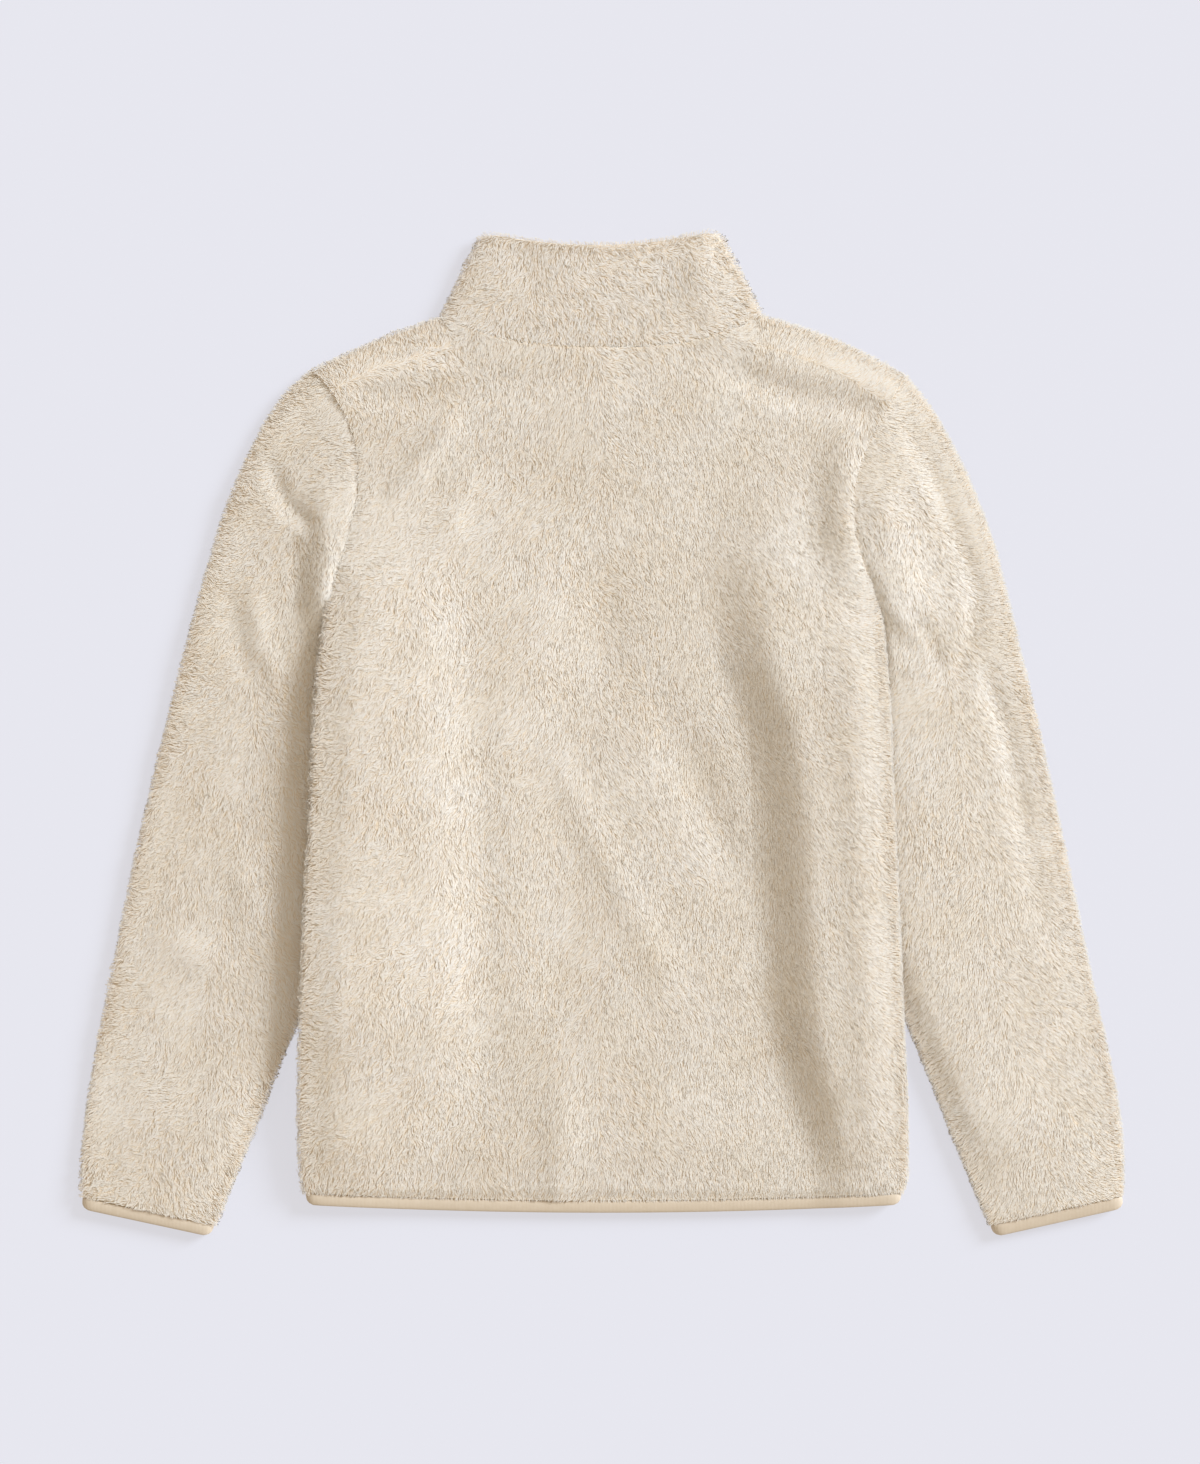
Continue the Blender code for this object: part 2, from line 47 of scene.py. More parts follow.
# -------------------- the two body panels
# Front and back are cut alike from knitted fleece and sewn together down the sides and along the
# shoulders. Laid out, the front lies on the surface and the back on the front, and the sleeves tucked
# beneath their edges hold both up at the sides.
FLEECE_WALL = 0.004  # ground and pile roots together
SEAM_GAP = 0.0003  # between two pieces that are sewn together
SEAM_LEVEL = FLEECE_WALL + SEAM_GAP / 2  # height of a side seam above what it lies on
GROUND = 0.0018  # the knitted ground alone
GROUND_AT_SEAM = 0.0004  # what it is pinched to at a seam
BESIDE_SEAM = GROUND_AT_SEAM * 1.2  # from a seam's level out to the ground's face beside it
FRONT_SAG = SEAM_LEVEL - 0.0012  # how far the front's ground hangs beneath that
PILE_ROOTS = 0.0004  # how deep in the pile the ground lies
BODY_PUFF = 0.0030  # how far the back swells up between its seams
BODY_PUFF_REACH = 0.030
SEAM_ROUNDING = 0.012  # how far in from a seam the cloth bends over
END_PUFF = 0.0008  # what is left of a swell at the hem, a cuff or the neck
END_REACH = 0.045

HEM_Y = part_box("front_panel")[0].y
HEM_RISE = 0.006
NECK_Y = 0.2775
NECK_POWER = 2.8
SHOULDER_BOW_LEFT = 0.0022
SHOULDER_BOW_RIGHT = 0.0045
NECK_LEFT = (-0.1155, 0.2990)
NECK_RIGHT = (0.1145, 0.3000)
SHOULDER_LEFT = (-0.2100, 0.2600)
SHOULDER_RIGHT = (0.2180, 0.2570)
UNDERARM_LEFT = (-0.1965, 0.0950)
UNDERARM_RIGHT = (0.1995, 0.0930)
ARMHOLE_BOW = 0.0285
ARMHOLE_SKEW_LEFT = 0.75
ARMHOLE_SKEW_RIGHT = 1.08

# (y, left x, right x)
SIDE_SEAMS = (
    (-0.3315, -0.2140, 0.2155),
    (-0.3180, -0.2165, 0.2188),
    (-0.2650, -0.2174, 0.2181),
    (-0.1930, -0.2152, 0.2145),
    (-0.1210, -0.2125, 0.2115),
    (-0.0490, -0.2080, 0.2080),
    (0.0230, -0.2052, 0.2052),
    (0.0940, -0.1965, 0.1995),
)
HEM_WIDTH = SIDE_SEAMS[0][2] - SIDE_SEAMS[0][1]

# The lift is whole from the edge to the end of the flat, and sinks to nothing over the fall.
# (y, flat, fall, height)
LIFT_LEFT = (
    (-0.3365, 0.014, 0.080, 0.0041),
    (-0.3100, 0.014, 0.095, 0.0065),
    (-0.2750, 0.014, 0.110, 0.0093),
    (-0.2350, 0.014, 0.150, 0.0126),
    (-0.2000, 0.014, 0.180, 0.0170),
    (-0.0500, 0.014, 0.190, 0.0180),
    (0.0500, 0.014, 0.190, 0.0135),
    (0.0900, 0.014, 0.190, 0.0110),
    (0.1200, 0.014, 0.180, 0.0078),
    (0.1500, 0.012, 0.170, 0.0060),
    (0.2100, 0.008, 0.120, 0.0000),
)
LIFT_RIGHT = (
    (-0.3365, 0.038, 0.028, 0.0030),
    (-0.3000, 0.042, 0.032, 0.0064),
    (-0.2500, 0.050, 0.040, 0.0108),
    (-0.2000, 0.056, 0.045, 0.0135),
    (-0.0500, 0.057, 0.046, 0.0135),
    (0.0000, 0.062, 0.046, 0.0130),
    (0.0500, 0.074, 0.048, 0.0105),
    (0.0900, 0.074, 0.050, 0.0075),
    (0.1300, 0.062, 0.056, 0.0050),
    (0.1800, 0.040, 0.060, 0.0025),
    (0.2300, 0.020, 0.060, 0.0000),
)

# Folds and swells of the back, as lines of points. A height below zero is a trough.
# (x, y, half width, height)
BODY_FOLDS = {
    "branch of the right side drape": (
        (0.030, 0.050, 0.018, 0.0), (0.058, -0.015, 0.018, -0.0024), (0.088, -0.085, 0.016, -0.0022),
        (0.098, -0.130, 0.018, 0.0),
    ),
    "centre crease": (
        (-0.040, -0.010, 0.011, 0.0), (-0.024, -0.040, 0.011, 0.0012), (0.010, -0.105, 0.011, 0.0014),
        (0.040, -0.165, 0.012, 0.0013), (0.058, -0.215, 0.014, 0.0),
    ),
    "left of centre": (
        (-0.104, 0.180, 0.022, 0.0), (-0.099, 0.060, 0.022, -0.0024), (-0.093, -0.030, 0.020, -0.0026),
        (-0.088, -0.120, 0.020, -0.0030), (-0.086, -0.210, 0.020, -0.0026), (-0.090, -0.300, 0.022, 0.0),
    ),
    "middle": ((-0.004, 0.140, 0.016, 0.0), (0.002, 0.080, 0.016, -0.0018), (0.000, 0.010, 0.018, 0.0)),
    "left of the middle": (
        (-0.046, 0.150, 0.016, 0.0), (-0.044, 0.080, 0.016, 0.0014), (-0.048, 0.020, 0.016, 0.0),
    ),
    "above the hem": (
        (-0.032, -0.220, 0.014, 0.0), (-0.028, -0.280, 0.014, 0.0022), (-0.034, -0.338, 0.014, 0.0014),
    ),
    "right shoulder roll": (
        (0.085, 0.284, 0.012, 0.0004), (0.112, 0.271, 0.012, 0.0014), (0.145, 0.259, 0.012, 0.0014),
        (0.180, 0.255, 0.012, 0.0014), (0.205, 0.248, 0.012, 0.0011), (0.224, 0.238, 0.012, 0.0008),
    ),
    "beneath the right shoulder roll": (
        (0.080, 0.266, 0.011, 0.0), (0.106, 0.255, 0.011, -0.0018), (0.139, 0.243, 0.011, -0.0024),
        (0.173, 0.239, 0.011, -0.0022), (0.198, 0.231, 0.011, -0.0016), (0.212, 0.222, 0.011, 0.0),
    ),
    "left shoulder roll": (
        (-0.198, 0.262, 0.010, 0.0004), (-0.150, 0.256, 0.010, 0.0009), (-0.105, 0.259, 0.011, 0.0011),
        (-0.072, 0.270, 0.010, 0.0012), (0.000, 0.271, 0.010, 0.0008),
    ),
    "beneath the left shoulder roll": (
        (-0.190, 0.246, 0.010, 0.0), (-0.150, 0.239, 0.010, -0.0013), (-0.105, 0.242, 0.011, -0.0011),
        (-0.072, 0.252, 0.010, -0.0010), (0.000, 0.254, 0.010, 0.0),
    ),
    "right edge": (
        (0.180, 0.090, 0.016, 0.0), (0.184, 0.040, 0.016, 0.0020), (0.190, -0.100, 0.016, 0.0020),
        (0.194, -0.220, 0.016, 0.0016), (0.196, -0.300, 0.016, 0.0),
    ),
    "left shoulder blade": (
        (-0.098, 0.233, 0.009, 0.0), (-0.112, 0.216, 0.009, 0.0026), (-0.134, 0.190, 0.009, 0.0028),
        (-0.156, 0.168, 0.010, 0.0),
    ),
    "below the left shoulder blade": (
        (-0.088, 0.192, 0.012, 0.0), (-0.108, 0.155, 0.012, 0.0018), (-0.118, 0.115, 0.013, 0.0),
    ),
    "beside the right armhole": (
        (0.177, 0.232, 0.012, 0.0), (0.175, 0.195, 0.013, 0.0026), (0.176, 0.145, 0.015, 0.0036),
        (0.180, 0.095, 0.015, 0.0),
    ),
    "right shoulder blade": (
        (0.152, 0.215, 0.012, 0.0), (0.151, 0.175, 0.013, -0.0012), (0.149, 0.138, 0.014, -0.0018),
        (0.156, 0.095, 0.014, 0.0),
    ),
}

SHOULDER_COLUMNS = 19
NECK_COLUMNS = 46
SIDE_ROWS = 84
ARMHOLE_ROWS = 34
RIM_STEPS = (0.0008, 0.0025, 0.0055)  # distances from a seam that always get a line of points


def smooth_step(value):
    """0 below 0, 1 above 1 and a soft rise between."""
    value = np.clip(value, 0.0, 1.0)
    return value * value * (3.0 - 2.0 * value)


def blend(start, end, share):
    """start where the share is 0, end where it is 1, and in step between."""
    return start + (end - start) * share


def rounding(distance, radius=SEAM_ROUNDING):
    """The height of a quarter circle, 0 at its edge and 1 from radius on."""
    return np.sqrt(1.0 - np.clip(1.0 - distance / radius, 0.0, 1.0) ** 2)


def through_rows(rows, count):
    """Rows at even steps along a smooth curve through the given rows (Catmull-Rom)."""
    rows = np.array(rows)
    held = np.vstack([2 * rows[0] - rows[1], rows, 2 * rows[-1] - rows[-2]])
    place = np.linspace(0.0, len(rows) - 1.0, count)
    first = np.minimum(place.astype(int), len(rows) - 2)
    t = (place - first)[:, None]
    a, b, c, d = (held[first + step] for step in range(4))
    bend = 2 * a - 5 * b + 4 * c - d
    twist = 3 * (b - c) + d - a
    return b + t / 2 * (c - a + t * (bend + t * twist))


def rim_spaced(length, count):
    """Shares from 0 to 1 along a length, close together near both ends and even between."""
    near = np.array((0.0, *RIM_STEPS)) / length
    between = np.linspace(near[-1], 1.0 - near[-1], count - 2 * len(RIM_STEPS) + 1)
    return np.concatenate([near[:-1], between, 1.0 - near[-2::-1]])


def one_rim_spaced(length, count):
    """Shares from 0 to 1 along a length, close together near its start only."""
    near = np.array((0.0, *RIM_STEPS)) / length
    return np.concatenate([near[:-1], np.linspace(near[-1], 1.0, count - len(RIM_STEPS) + 1)])


def nearest_on_line(points, line):
    """How far each point is from a line of straight pieces, and the piece and share it is nearest."""
    start = line[:-1]
    run = line[1:] - start
    away = points[..., None, :] - start
    share = np.clip((away * run).sum(-1) / (run * run).sum(-1), 0.0, 1.0)
    gap = np.linalg.norm(away - share[..., None] * run, axis=-1)
    piece = gap.argmin(-1)[..., None]
    return tuple(np.take_along_axis(field, piece, -1)[..., 0] for field in (gap, share)) + (piece[..., 0],)


def fold_height(points, folds):
    """How far the folds raise or press down the cloth at each point."""
    height = np.zeros(points.shape[:-1])
    for rows in folds.values():
        rows = np.array(rows)
        gap, share, piece = nearest_on_line(points, rows[:, :2])
        half_width, rise = blend(rows[piece, 2:], rows[piece + 1, 2:], share[..., None]).T
        height += rise.T * np.exp(-((gap / half_width.T) ** 2))
    return height


def armhole_points(shoulder, underarm, bow, skew, shares):
    """Points from the shoulder to the underarm, bowed towards the centre line."""
    line = blend(np.array(shoulder), np.array(underarm), shares[:, None])
    line[:, 0] -= np.sign(shoulder[0]) * bow * np.sin(np.pi * shares**skew)
    return line


def shoulder_points(neck, shoulder, bow, shares):
    """Points from the shoulder tip to the neck, slightly bowed outward."""
    line = blend(np.array(shoulder), np.array(neck), shares[:, None])
    line[:, 1] += bow * np.sin(np.pi * shares)
    return line


def neck_points(shares):
    """Points along the neck seam, from left to right."""
    line = blend(np.array(NECK_LEFT), np.array(NECK_RIGHT), shares[:, None])
    line[:, 1] -= (line[:, 1] - NECK_Y) * (1.0 - np.abs(2.0 * shares - 1.0) ** NECK_POWER)
    return line


def hem_points(shares):
    """Points along the hem, from left to right."""
    x = SIDE_SEAMS[0][1] + shares * HEM_WIDTH
    y = HEM_Y + HEM_RISE * np.abs(2.0 * shares - 1.0) ** 2
    return np.stack([x, y], 1)


def side_points(side, underarm):
    """Points up a side seam, from the hem to the underarm. side is 1 for the left and 2 for the right."""
    return through_rows([(row[side], row[0]) for row in SIDE_SEAMS[:-1]] + [underarm], SIDE_ROWS + 1)


NECK_SHARES = rim_spaced(NECK_RIGHT[0] - NECK_LEFT[0], NECK_COLUMNS)
ARMHOLE_SHARES = rim_spaced(SHOULDER_LEFT[1] - UNDERARM_LEFT[1], ARMHOLE_ROWS)
SHOULDER_SHARES = one_rim_spaced(NECK_LEFT[0] - SHOULDER_LEFT[0], SHOULDER_COLUMNS)
SIDE_LEFT = side_points(1, UNDERARM_LEFT)
SIDE_RIGHT = side_points(2, UNDERARM_RIGHT)
SHOULDER_SEAM_LEFT = shoulder_points(NECK_LEFT, SHOULDER_LEFT, SHOULDER_BOW_LEFT, SHOULDER_SHARES)
SHOULDER_SEAM_RIGHT = shoulder_points(
    NECK_RIGHT, SHOULDER_RIGHT, SHOULDER_BOW_RIGHT, SHOULDER_SHARES)[::-1]
ARMHOLE_LEFT = armhole_points(
    SHOULDER_LEFT, UNDERARM_LEFT, ARMHOLE_BOW, ARMHOLE_SKEW_LEFT, ARMHOLE_SHARES)[::-1]
ARMHOLE_RIGHT = armhole_points(
    SHOULDER_RIGHT, UNDERARM_RIGHT, ARMHOLE_BOW, ARMHOLE_SKEW_RIGHT, ARMHOLE_SHARES)[::-1]
LEFT_EDGE = np.vstack([SIDE_LEFT[:-1], ARMHOLE_LEFT])
RIGHT_EDGE = np.vstack([SIDE_RIGHT[:-1], ARMHOLE_RIGHT])


def body_grid():
    """The body's points from above, in rows from hem to shoulders, blended from its four edges."""
    top = np.vstack([SHOULDER_SEAM_LEFT[:-1], neck_points(NECK_SHARES), SHOULDER_SEAM_RIGHT[1:]])
    across = (top[:, 0] - top[0, 0]) / (top[-1, 0] - top[0, 0])
    edge = np.array((0.0, *RIM_STEPS)) / HEM_WIDTH
    hem_shares = across.copy()
    hem_shares[: len(edge)] = edge
    hem_shares[-len(edge) :] = 1.0 - edge[::-1]
    hem = hem_points(hem_shares)
    up = (LEFT_EDGE[:, 1] - LEFT_EDGE[0, 1]) / (LEFT_EDGE[-1, 1] - LEFT_EDGE[0, 1])
    share = blend(hem_shares, across, up[:, None] ** 2)[..., None]
    rise = up[:, None, None]
    corners = (
        (1 - share) * (1 - rise) * hem[0] + share * (1 - rise) * hem[-1]
        + (1 - share) * rise * top[0] + share * rise * top[-1]
    )
    ends = (1 - rise) * hem[None] + rise * top[None]
    return ends + (1 - share) * LEFT_EDGE[:, None] + share * RIGHT_EDGE[:, None] - corners


def lift_from(points, edge, rows):
    """The lift inward from one edge of the body, a line of points going up."""
    y, flat, fall, height = np.array(rows).T
    at = points[..., 1]
    inward = np.abs(points[..., 0] - np.interp(at, edge[:, 1], edge[:, 0]))
    sunk = smooth_step((inward - np.interp(at, y, flat)) / np.interp(at, y, fall))
    share = np.interp(at, y, height) / max(height)
    return max(height) * smooth_step(share) * (1.0 - sunk)


def side_lift(points):
    """How far the body is lifted at each point by the sleeves tucked beneath its edges."""
    return np.maximum(lift_from(points, LEFT_EDGE, LIFT_LEFT), lift_from(points, RIGHT_EDGE, LIFT_RIGHT))


def out_to_seams(points, seams):
    """How far each point is from the nearest of some seams, and which way that is, in plan."""
    found = []
    for seam in seams:
        gap, share, piece = nearest_on_line(points, seam)
        nearest = blend(seam[piece], seam[piece + 1], share[..., None])
        found.append(np.dstack([gap, nearest - points]))
    found = np.array(found)
    best = found[..., 0].argmin(0)
    chosen = np.take_along_axis(found, best[None, ..., None], 0)[0]
    return chosen[..., 0], chosen[..., 1:] / np.maximum(chosen[..., :1], 1e-6)


def grid_faces(rows, columns, closed, start=0):
    """Quads over a grid of points, with the columns joined into rings where closed."""
    index = start + np.arange(rows * columns).reshape(rows, columns)
    after = np.roll(index, -1, axis=1)
    if not closed:
        index, after = index[:, :-1], after[:, :-1]
    return np.stack([index[:-1], after[:-1], after[1:], index[1:]], -1).reshape(-1, 4)


def new_piece(name, points, faces, material):
    """A smooth mesh of one material, riding on the pullover."""
    mesh = bpy.data.meshes.new(name)
    mesh.from_pydata(points.tolist(), [], faces.tolist())
    mesh.materials.append(material)
    mesh.shade_smooth()
    made = bpy.data.objects.new(name, mesh)
    bpy.context.collection.objects.link(made)
    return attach(made, BODY)


def panel_shell(name, grid, low, high, material):
    """A closed wall of cloth over a grid of points, between two heights at each point."""
    rows, columns = grid.shape[:2]
    count = rows * columns
    points = np.vstack([np.dstack([grid, level]).reshape(count, 3) for level in (low, high)])
    index = np.arange(count).reshape(rows, columns)
    rim = np.concatenate([index[0, :-1], index[:-1, -1], index[-1, :0:-1], index[:0:-1, 0]])
    on = np.roll(rim, -1)
    faces = np.vstack([
        grid_faces(rows, columns, False)[:, ::-1],
        grid_faces(rows, columns, False, count),
        np.stack([rim, on, on + count, rim + count], 1),
    ])
    return new_piece(name, points, faces, material)


def set_inputs(node, values):
    for name, value in values.items():
        node.inputs[name].default_value = value


def new_material(name, finish):
    """A material whose shader has that finish."""
    made = bpy.data.materials.new(name)
    made.use_nodes = True
    set_inputs(made.node_tree.nodes["Principled BSDF"], finish)
    return made


def join(made, output, socket):
    """Drive one of a material's own shader sockets from a node's output."""
    made.node_tree.links.new(output, made.node_tree.nodes["Principled BSDF"].inputs[socket])


def texture(made, kind, values):
    """A texture in a material, laid on by the piece's own coordinates."""
    place = made.node_tree.nodes.new("ShaderNodeTexCoord")
    node = made.node_tree.nodes.new(kind)
    set_inputs(node, values)
    made.node_tree.links.new(place.outputs["Object"], node.inputs["Vector"])
    return node


def colours(made, output, low, high, positions=(0.0, 1.0)):
    """Colours from low to high, as a node's output goes from one position to the other."""
    ramp = made.node_tree.nodes.new("ShaderNodeValToRGB")
    for number, colour in enumerate((low, high)):
        ramp.color_ramp.elements[number].color = colour
        ramp.color_ramp.elements[number].position = positions[number]
    made.node_tree.links.new(output, ramp.inputs["Fac"])
    return ramp.outputs["Color"]


def emboss(made, output, strength, distance):
    """Bumps all over a material, as high as a node's output says."""
    bump = made.node_tree.nodes.new("ShaderNodeBump")
    set_inputs(bump, {"Strength": strength, "Distance": distance})
    made.node_tree.links.new(output, bump.inputs["Height"])
    join(made, bump.outputs["Normal"], "Normal")


# The knitted ground between the pile's roots: brushed loops, a little uneven in colour, and darker and warmer
# than the pile's tips as painted shade in the gaps between them.
GROUND_LIGHT = (0.88, 0.77, 0.61, 1.0)
GROUND_DARK = (0.84, 0.70, 0.52, 1.0)
fleece_ground = new_material(
    "fleece_ground", {"Roughness": 0.95, "Sheen Weight": 0.3, "Sheen Roughness": 0.5})
tint = texture(fleece_ground, "ShaderNodeTexNoise", {"Scale": 160.0, "Detail": 3.0})
ground_colour = colours(fleece_ground, tint.outputs["Fac"], GROUND_DARK, GROUND_LIGHT, (0.35, 0.65))
join(fleece_ground, ground_colour, "Base Color")
loops = texture(fleece_ground, "ShaderNodeTexVoronoi", {"Scale": 620.0})
emboss(fleece_ground, loops.outputs["Distance"], 0.5, 0.0006)

body = body_grid()
lift = side_lift(body)
seam_gap, seam_way = out_to_seams(body, (SIDE_LEFT, SIDE_RIGHT, SHOULDER_SEAM_LEFT, SHOULDER_SEAM_RIGHT))
armhole_gap, armhole_way = out_to_seams(body, (ARMHOLE_LEFT, ARMHOLE_RIGHT))
over = rounding(seam_gap)
end_gap = np.minimum(body[..., 1] - HEM_Y, NECK_Y - body[..., 1])
puff = blend(END_PUFF, BODY_PUFF, smooth_step(end_gap / END_REACH))
puff *= smooth_step(seam_gap / BODY_PUFF_REACH)
seam_level = lift + SEAM_LEVEL
ground_wall = blend(GROUND_AT_SEAM, GROUND, over)

front_low = seam_level - BESIDE_SEAM - FRONT_SAG * over
front_panel = panel_shell("front_fleece", body, front_low, front_low + ground_wall, fleece_ground)
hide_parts("front_panel")

ARMHOLE_GROOVE = 0.0007
ARMHOLE_GROOVE_WIDTH = 0.0040
ROLLED_OVER = 0.205  # above this the shoulder's roll hides the armhole seam
ROLLED_OVER_REACH = 0.030
GROOVE_IN_ROLL = 0.2  # the share of the groove that shows there
HEM_TUCK = 0.0014
HEM_TUCK_REACH = 0.010


def armhole_groove(gap, y):
    """How far the armhole seam draws the cloth down, at a distance from it and a place along it."""
    drawn = blend(GROOVE_IN_ROLL, 1.0, smooth_step((ROLLED_OVER - y) / ROLLED_OVER_REACH))
    return ARMHOLE_GROOVE * drawn * np.exp(-((gap / ARMHOLE_GROOVE_WIDTH) ** 2))


groove = armhole_groove(armhole_gap, body[..., 1])
groove += HEM_TUCK * (1.0 - smooth_step((body[..., 1] - HEM_Y) / HEM_TUCK_REACH))
folds = fold_height(body, BODY_FOLDS) * smooth_step(seam_gap / SEAM_ROUNDING)
back_high = seam_level + BESIDE_SEAM + (SEAM_LEVEL - PILE_ROOTS + puff) * over + folds - groove
back_panel = panel_shell("back_fleece", body, back_high - ground_wall, back_high, fleece_ground)
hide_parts("back_panel")


# -------------------- the pile
# Sherpa's long pile is crimped fibre that stands in wisps, each leaning the way it was last brushed.
# Every blade here is a narrow bundle of fibres, bent over in the middle and pointed at both ends, and
# neighbours draw together into a wisp.
BLADE_SPACING = 0.00119
STRIP_STEP = 0.87  # from a strip of blades to the next, in spacings
SCATTER = 0.36  # how far off its even place a blade may stand, in spacings
LOWEST = 0.0002  # nothing reaches beneath the surface that the pullover lies on

# One blade, in metres or in shares of its own length and rise.
BLADE = ((0, 2, 1), (1, 2, 3))  # root, left, right and tip
BLADE_WIDTH = 0.00060
ROOT_DEPTH = 0.0004
ROOT_BEHIND = 0.42  # how far behind its place a blade starts, and how far ahead it ends
TIP_AHEAD = 0.53
MIDDLE_CURL = 0.12  # how far curl takes its middle and its tip to one side
TIP_CURL = 0.34
MIDDLE_GATHER = 0.45  # how much of the tip's way into a wisp its middle goes
TIP_HEIGHT = (0.45, 0.85)

# How far one blade is off the others, as a spread of its size or as a scatter.
LENGTH_SPREAD = (0.80, 1.15)
RISE_SPREAD = (0.75, 1.20)
WIDTH_SPREAD = (0.7, 1.3)
HEADING_SCATTER = 0.12  # in radians
TWIST_SCATTER = 0.35  # in radians
CURL_SCATTER = 0.12
TONE_SCATTER = 0.07

SIDE_TILT = 0.06  # a bundle is round: light falls on its sides and ends at a tilt
END_TILT = 0.06
RIM_GLOW = 0.85  # light passes through the fibre along an edge and evens out how steep it is
RIM_REACH = 0.018

PILE_LENGTH = 0.0080
CURL_SHORTENS = 0.30  # by this share, where the pile is curled
SHORT_PILE = 0.60  # the share of its length that pile has at a cut edge
SHORT_REACH = 0.012
PILE_RISE = 0.00052
RISE_SMOOTH = 0.70  # the share of that for brushed pile, and what curl adds
RISE_CURLED = 0.70
EDGE_FLUFF = 4.2  # how much more the pile stands up at a folded edge
EDGE_FLUFF_REACH = 0.005
WISP = 0.0028  # how wide a wisp is
WISP_RISE = 0.30  # how much higher its middle stands
WISP_PAINTED_SHADE = 0.18  # and how much paler its middle is than the painted shade between wisps
GATHER_SMOOTH = 0.0002  # how far tips draw together in brushed pile, and what curl adds
GATHER_CURLED = 0.0007
GATHER_STEEPNESS = 1.6

# Patches in which the pile has its own curl, tone or length, each with how strong the change is.
TANGLE_PATCH = 0.045
TANGLE_CHANGE = 0.35
CURL_PATCH = 0.005
CURL_CHANGE = 0.9
TONE_PATCH = 0.030
TONE_CHANGE = 0.16
LENGTH_PATCH = 0.010
LENGTH_CHANGE = 0.12
# How far patches of pile turn off the way they were brushed, in radians.
# (patch, turn of brushed pile, what curl adds, place in the random field)
WANDER = ((0.050, 0.30, 0.30, 0), (0.014, 0.15, 0.40, 9), (0.004, 0.0, 0.55, 15))

# Fine polyester fibre, paler at its tips. Each blade's colour runs from a darker, warmer root, which is
# painted shade deep in the pile, up to its tone at the tip. The piece's map says how pale each lock is.
PILE_ROOT_PAINTED_SHADE = (0.89, 0.675, 0.435, 1.0)
PILE_TIP_WARM = (0.87, 0.785, 0.655, 1.0)
PILE_TIP_PALE = (0.935, 0.895, 0.83, 1.0)
fleece_pile = new_material("fleece_pile", {
    "Roughness": 0.85,
    "Specular IOR Level": 0.25,
    "Sheen Weight": 0.35,
    "Sheen Roughness": 0.45,
    "Sheen Tint": (1.0, 0.96, 0.90, 1.0),
})
nodes, links = fleece_pile.node_tree.nodes, fleece_pile.node_tree.links
lock = nodes.new("ShaderNodeUVMap")
lock.uv_map = "OFBake"
split = nodes.new("ShaderNodeSeparateXYZ")
links.new(lock.outputs["UV"], split.inputs["Vector"])
mix = nodes.new("ShaderNodeMix")
mix.data_type = "RGBA"
links.new(split.outputs["X"], mix.inputs["Factor"])
# Up each blade from root to tip: painted shade at the root, the blade's own tone at the tip.
for socket, tip in (("A", PILE_TIP_WARM), ("B", PILE_TIP_PALE)):
    to_tip = colours(fleece_pile, split.outputs["Y"], PILE_ROOT_PAINTED_SHADE, tip, (0.05, 0.60))
    links.new(to_tip, mix.inputs[socket])
join(fleece_pile, mix.outputs["Result"], "Base Color")
fibre = texture(fleece_pile, "ShaderNodeTexNoise", {"Scale": 1800.0, "Detail": 1.0})
emboss(fleece_pile, fibre.outputs["Fac"], 0.35, 0.0003)


def unit(vectors):
    return vectors / np.maximum(np.linalg.norm(vectors, axis=-1, keepdims=True), 1e-9)


def sow(grid, rng):
    """Places for blades all over a grid of points, as rows and columns with fractions."""
    steps = np.maximum(np.linalg.norm(np.diff(grid, axis=0), axis=2), 1e-6)
    tallest = steps.max(axis=1)
    reach = np.concatenate([[0.0], np.cumsum(tallest)])
    found = []
    for number, at in enumerate(np.arange(BLADE_SPACING / 3, reach[-1], BLADE_SPACING * STRIP_STEP)):
        row = np.interp(at, reach, np.arange(len(reach)))
        low = min(int(row), len(grid) - 2)
        line = blend(grid[low], grid[low + 1], row - low)
        along = np.concatenate([[0.0], np.cumsum(np.linalg.norm(np.diff(line, axis=0), axis=1))])
        places = np.arange(BLADE_SPACING * (0.25 + 0.5 * (number % 2)), along[-1], BLADE_SPACING)
        places = places + rng.uniform(-SCATTER, SCATTER, len(places)) * BLADE_SPACING
        column = np.interp(places, along, np.arange(len(along)))
        step = np.interp(column, np.arange(grid.shape[1]), steps[low])
        kept = rng.random(len(places)) < step / tallest[low]
        jitter = rng.uniform(-SCATTER, SCATTER, len(places)) * BLADE_SPACING / step
        found.append(np.stack([row + jitter, column], 1)[kept])
    found = np.vstack(found)
    return np.clip(found, 0.0, np.array(grid.shape[:2]) - 1.001).T


def read(field, rows, columns):
    """A grid's values at rows and columns with fractions."""
    low, left = rows.astype(int), columns.astype(int)
    up, across = rows - low, columns - left
    if field.ndim == 3:
        up, across = up[:, None], across[:, None]
    below = field[low, left] * (1 - across) + field[low, left + 1] * across
    above = field[low + 1, left] * (1 - across) + field[low + 1, left + 1] * across
    return below * (1 - up) + above * up


def drift(points, size, offset):
    """A smooth random field, about -1 to 1, whose patches have that size."""
    shift = Vector((offset, 1.7 * offset, 0.3 * offset))
    return 1.8 * np.array([noise.noise(Vector(point) / size + shift) for point in points])


def turned(vectors, normals, angles):
    """Vectors turned about normals by angles."""
    angles = angles[..., None]
    return vectors * np.cos(angles) + np.cross(normals, vectors) * np.sin(angles)


def softly_lit(normals, gap):
    """Normals evened out close to an edge, all facing up."""
    glow = RIM_GLOW * np.exp(-((gap / RIM_REACH) ** 2))
    flat = normals[:, :2] * (1.0 - glow)[:, None]
    return np.column_stack([flat, np.sqrt(1.0 - (flat**2).sum(1))])


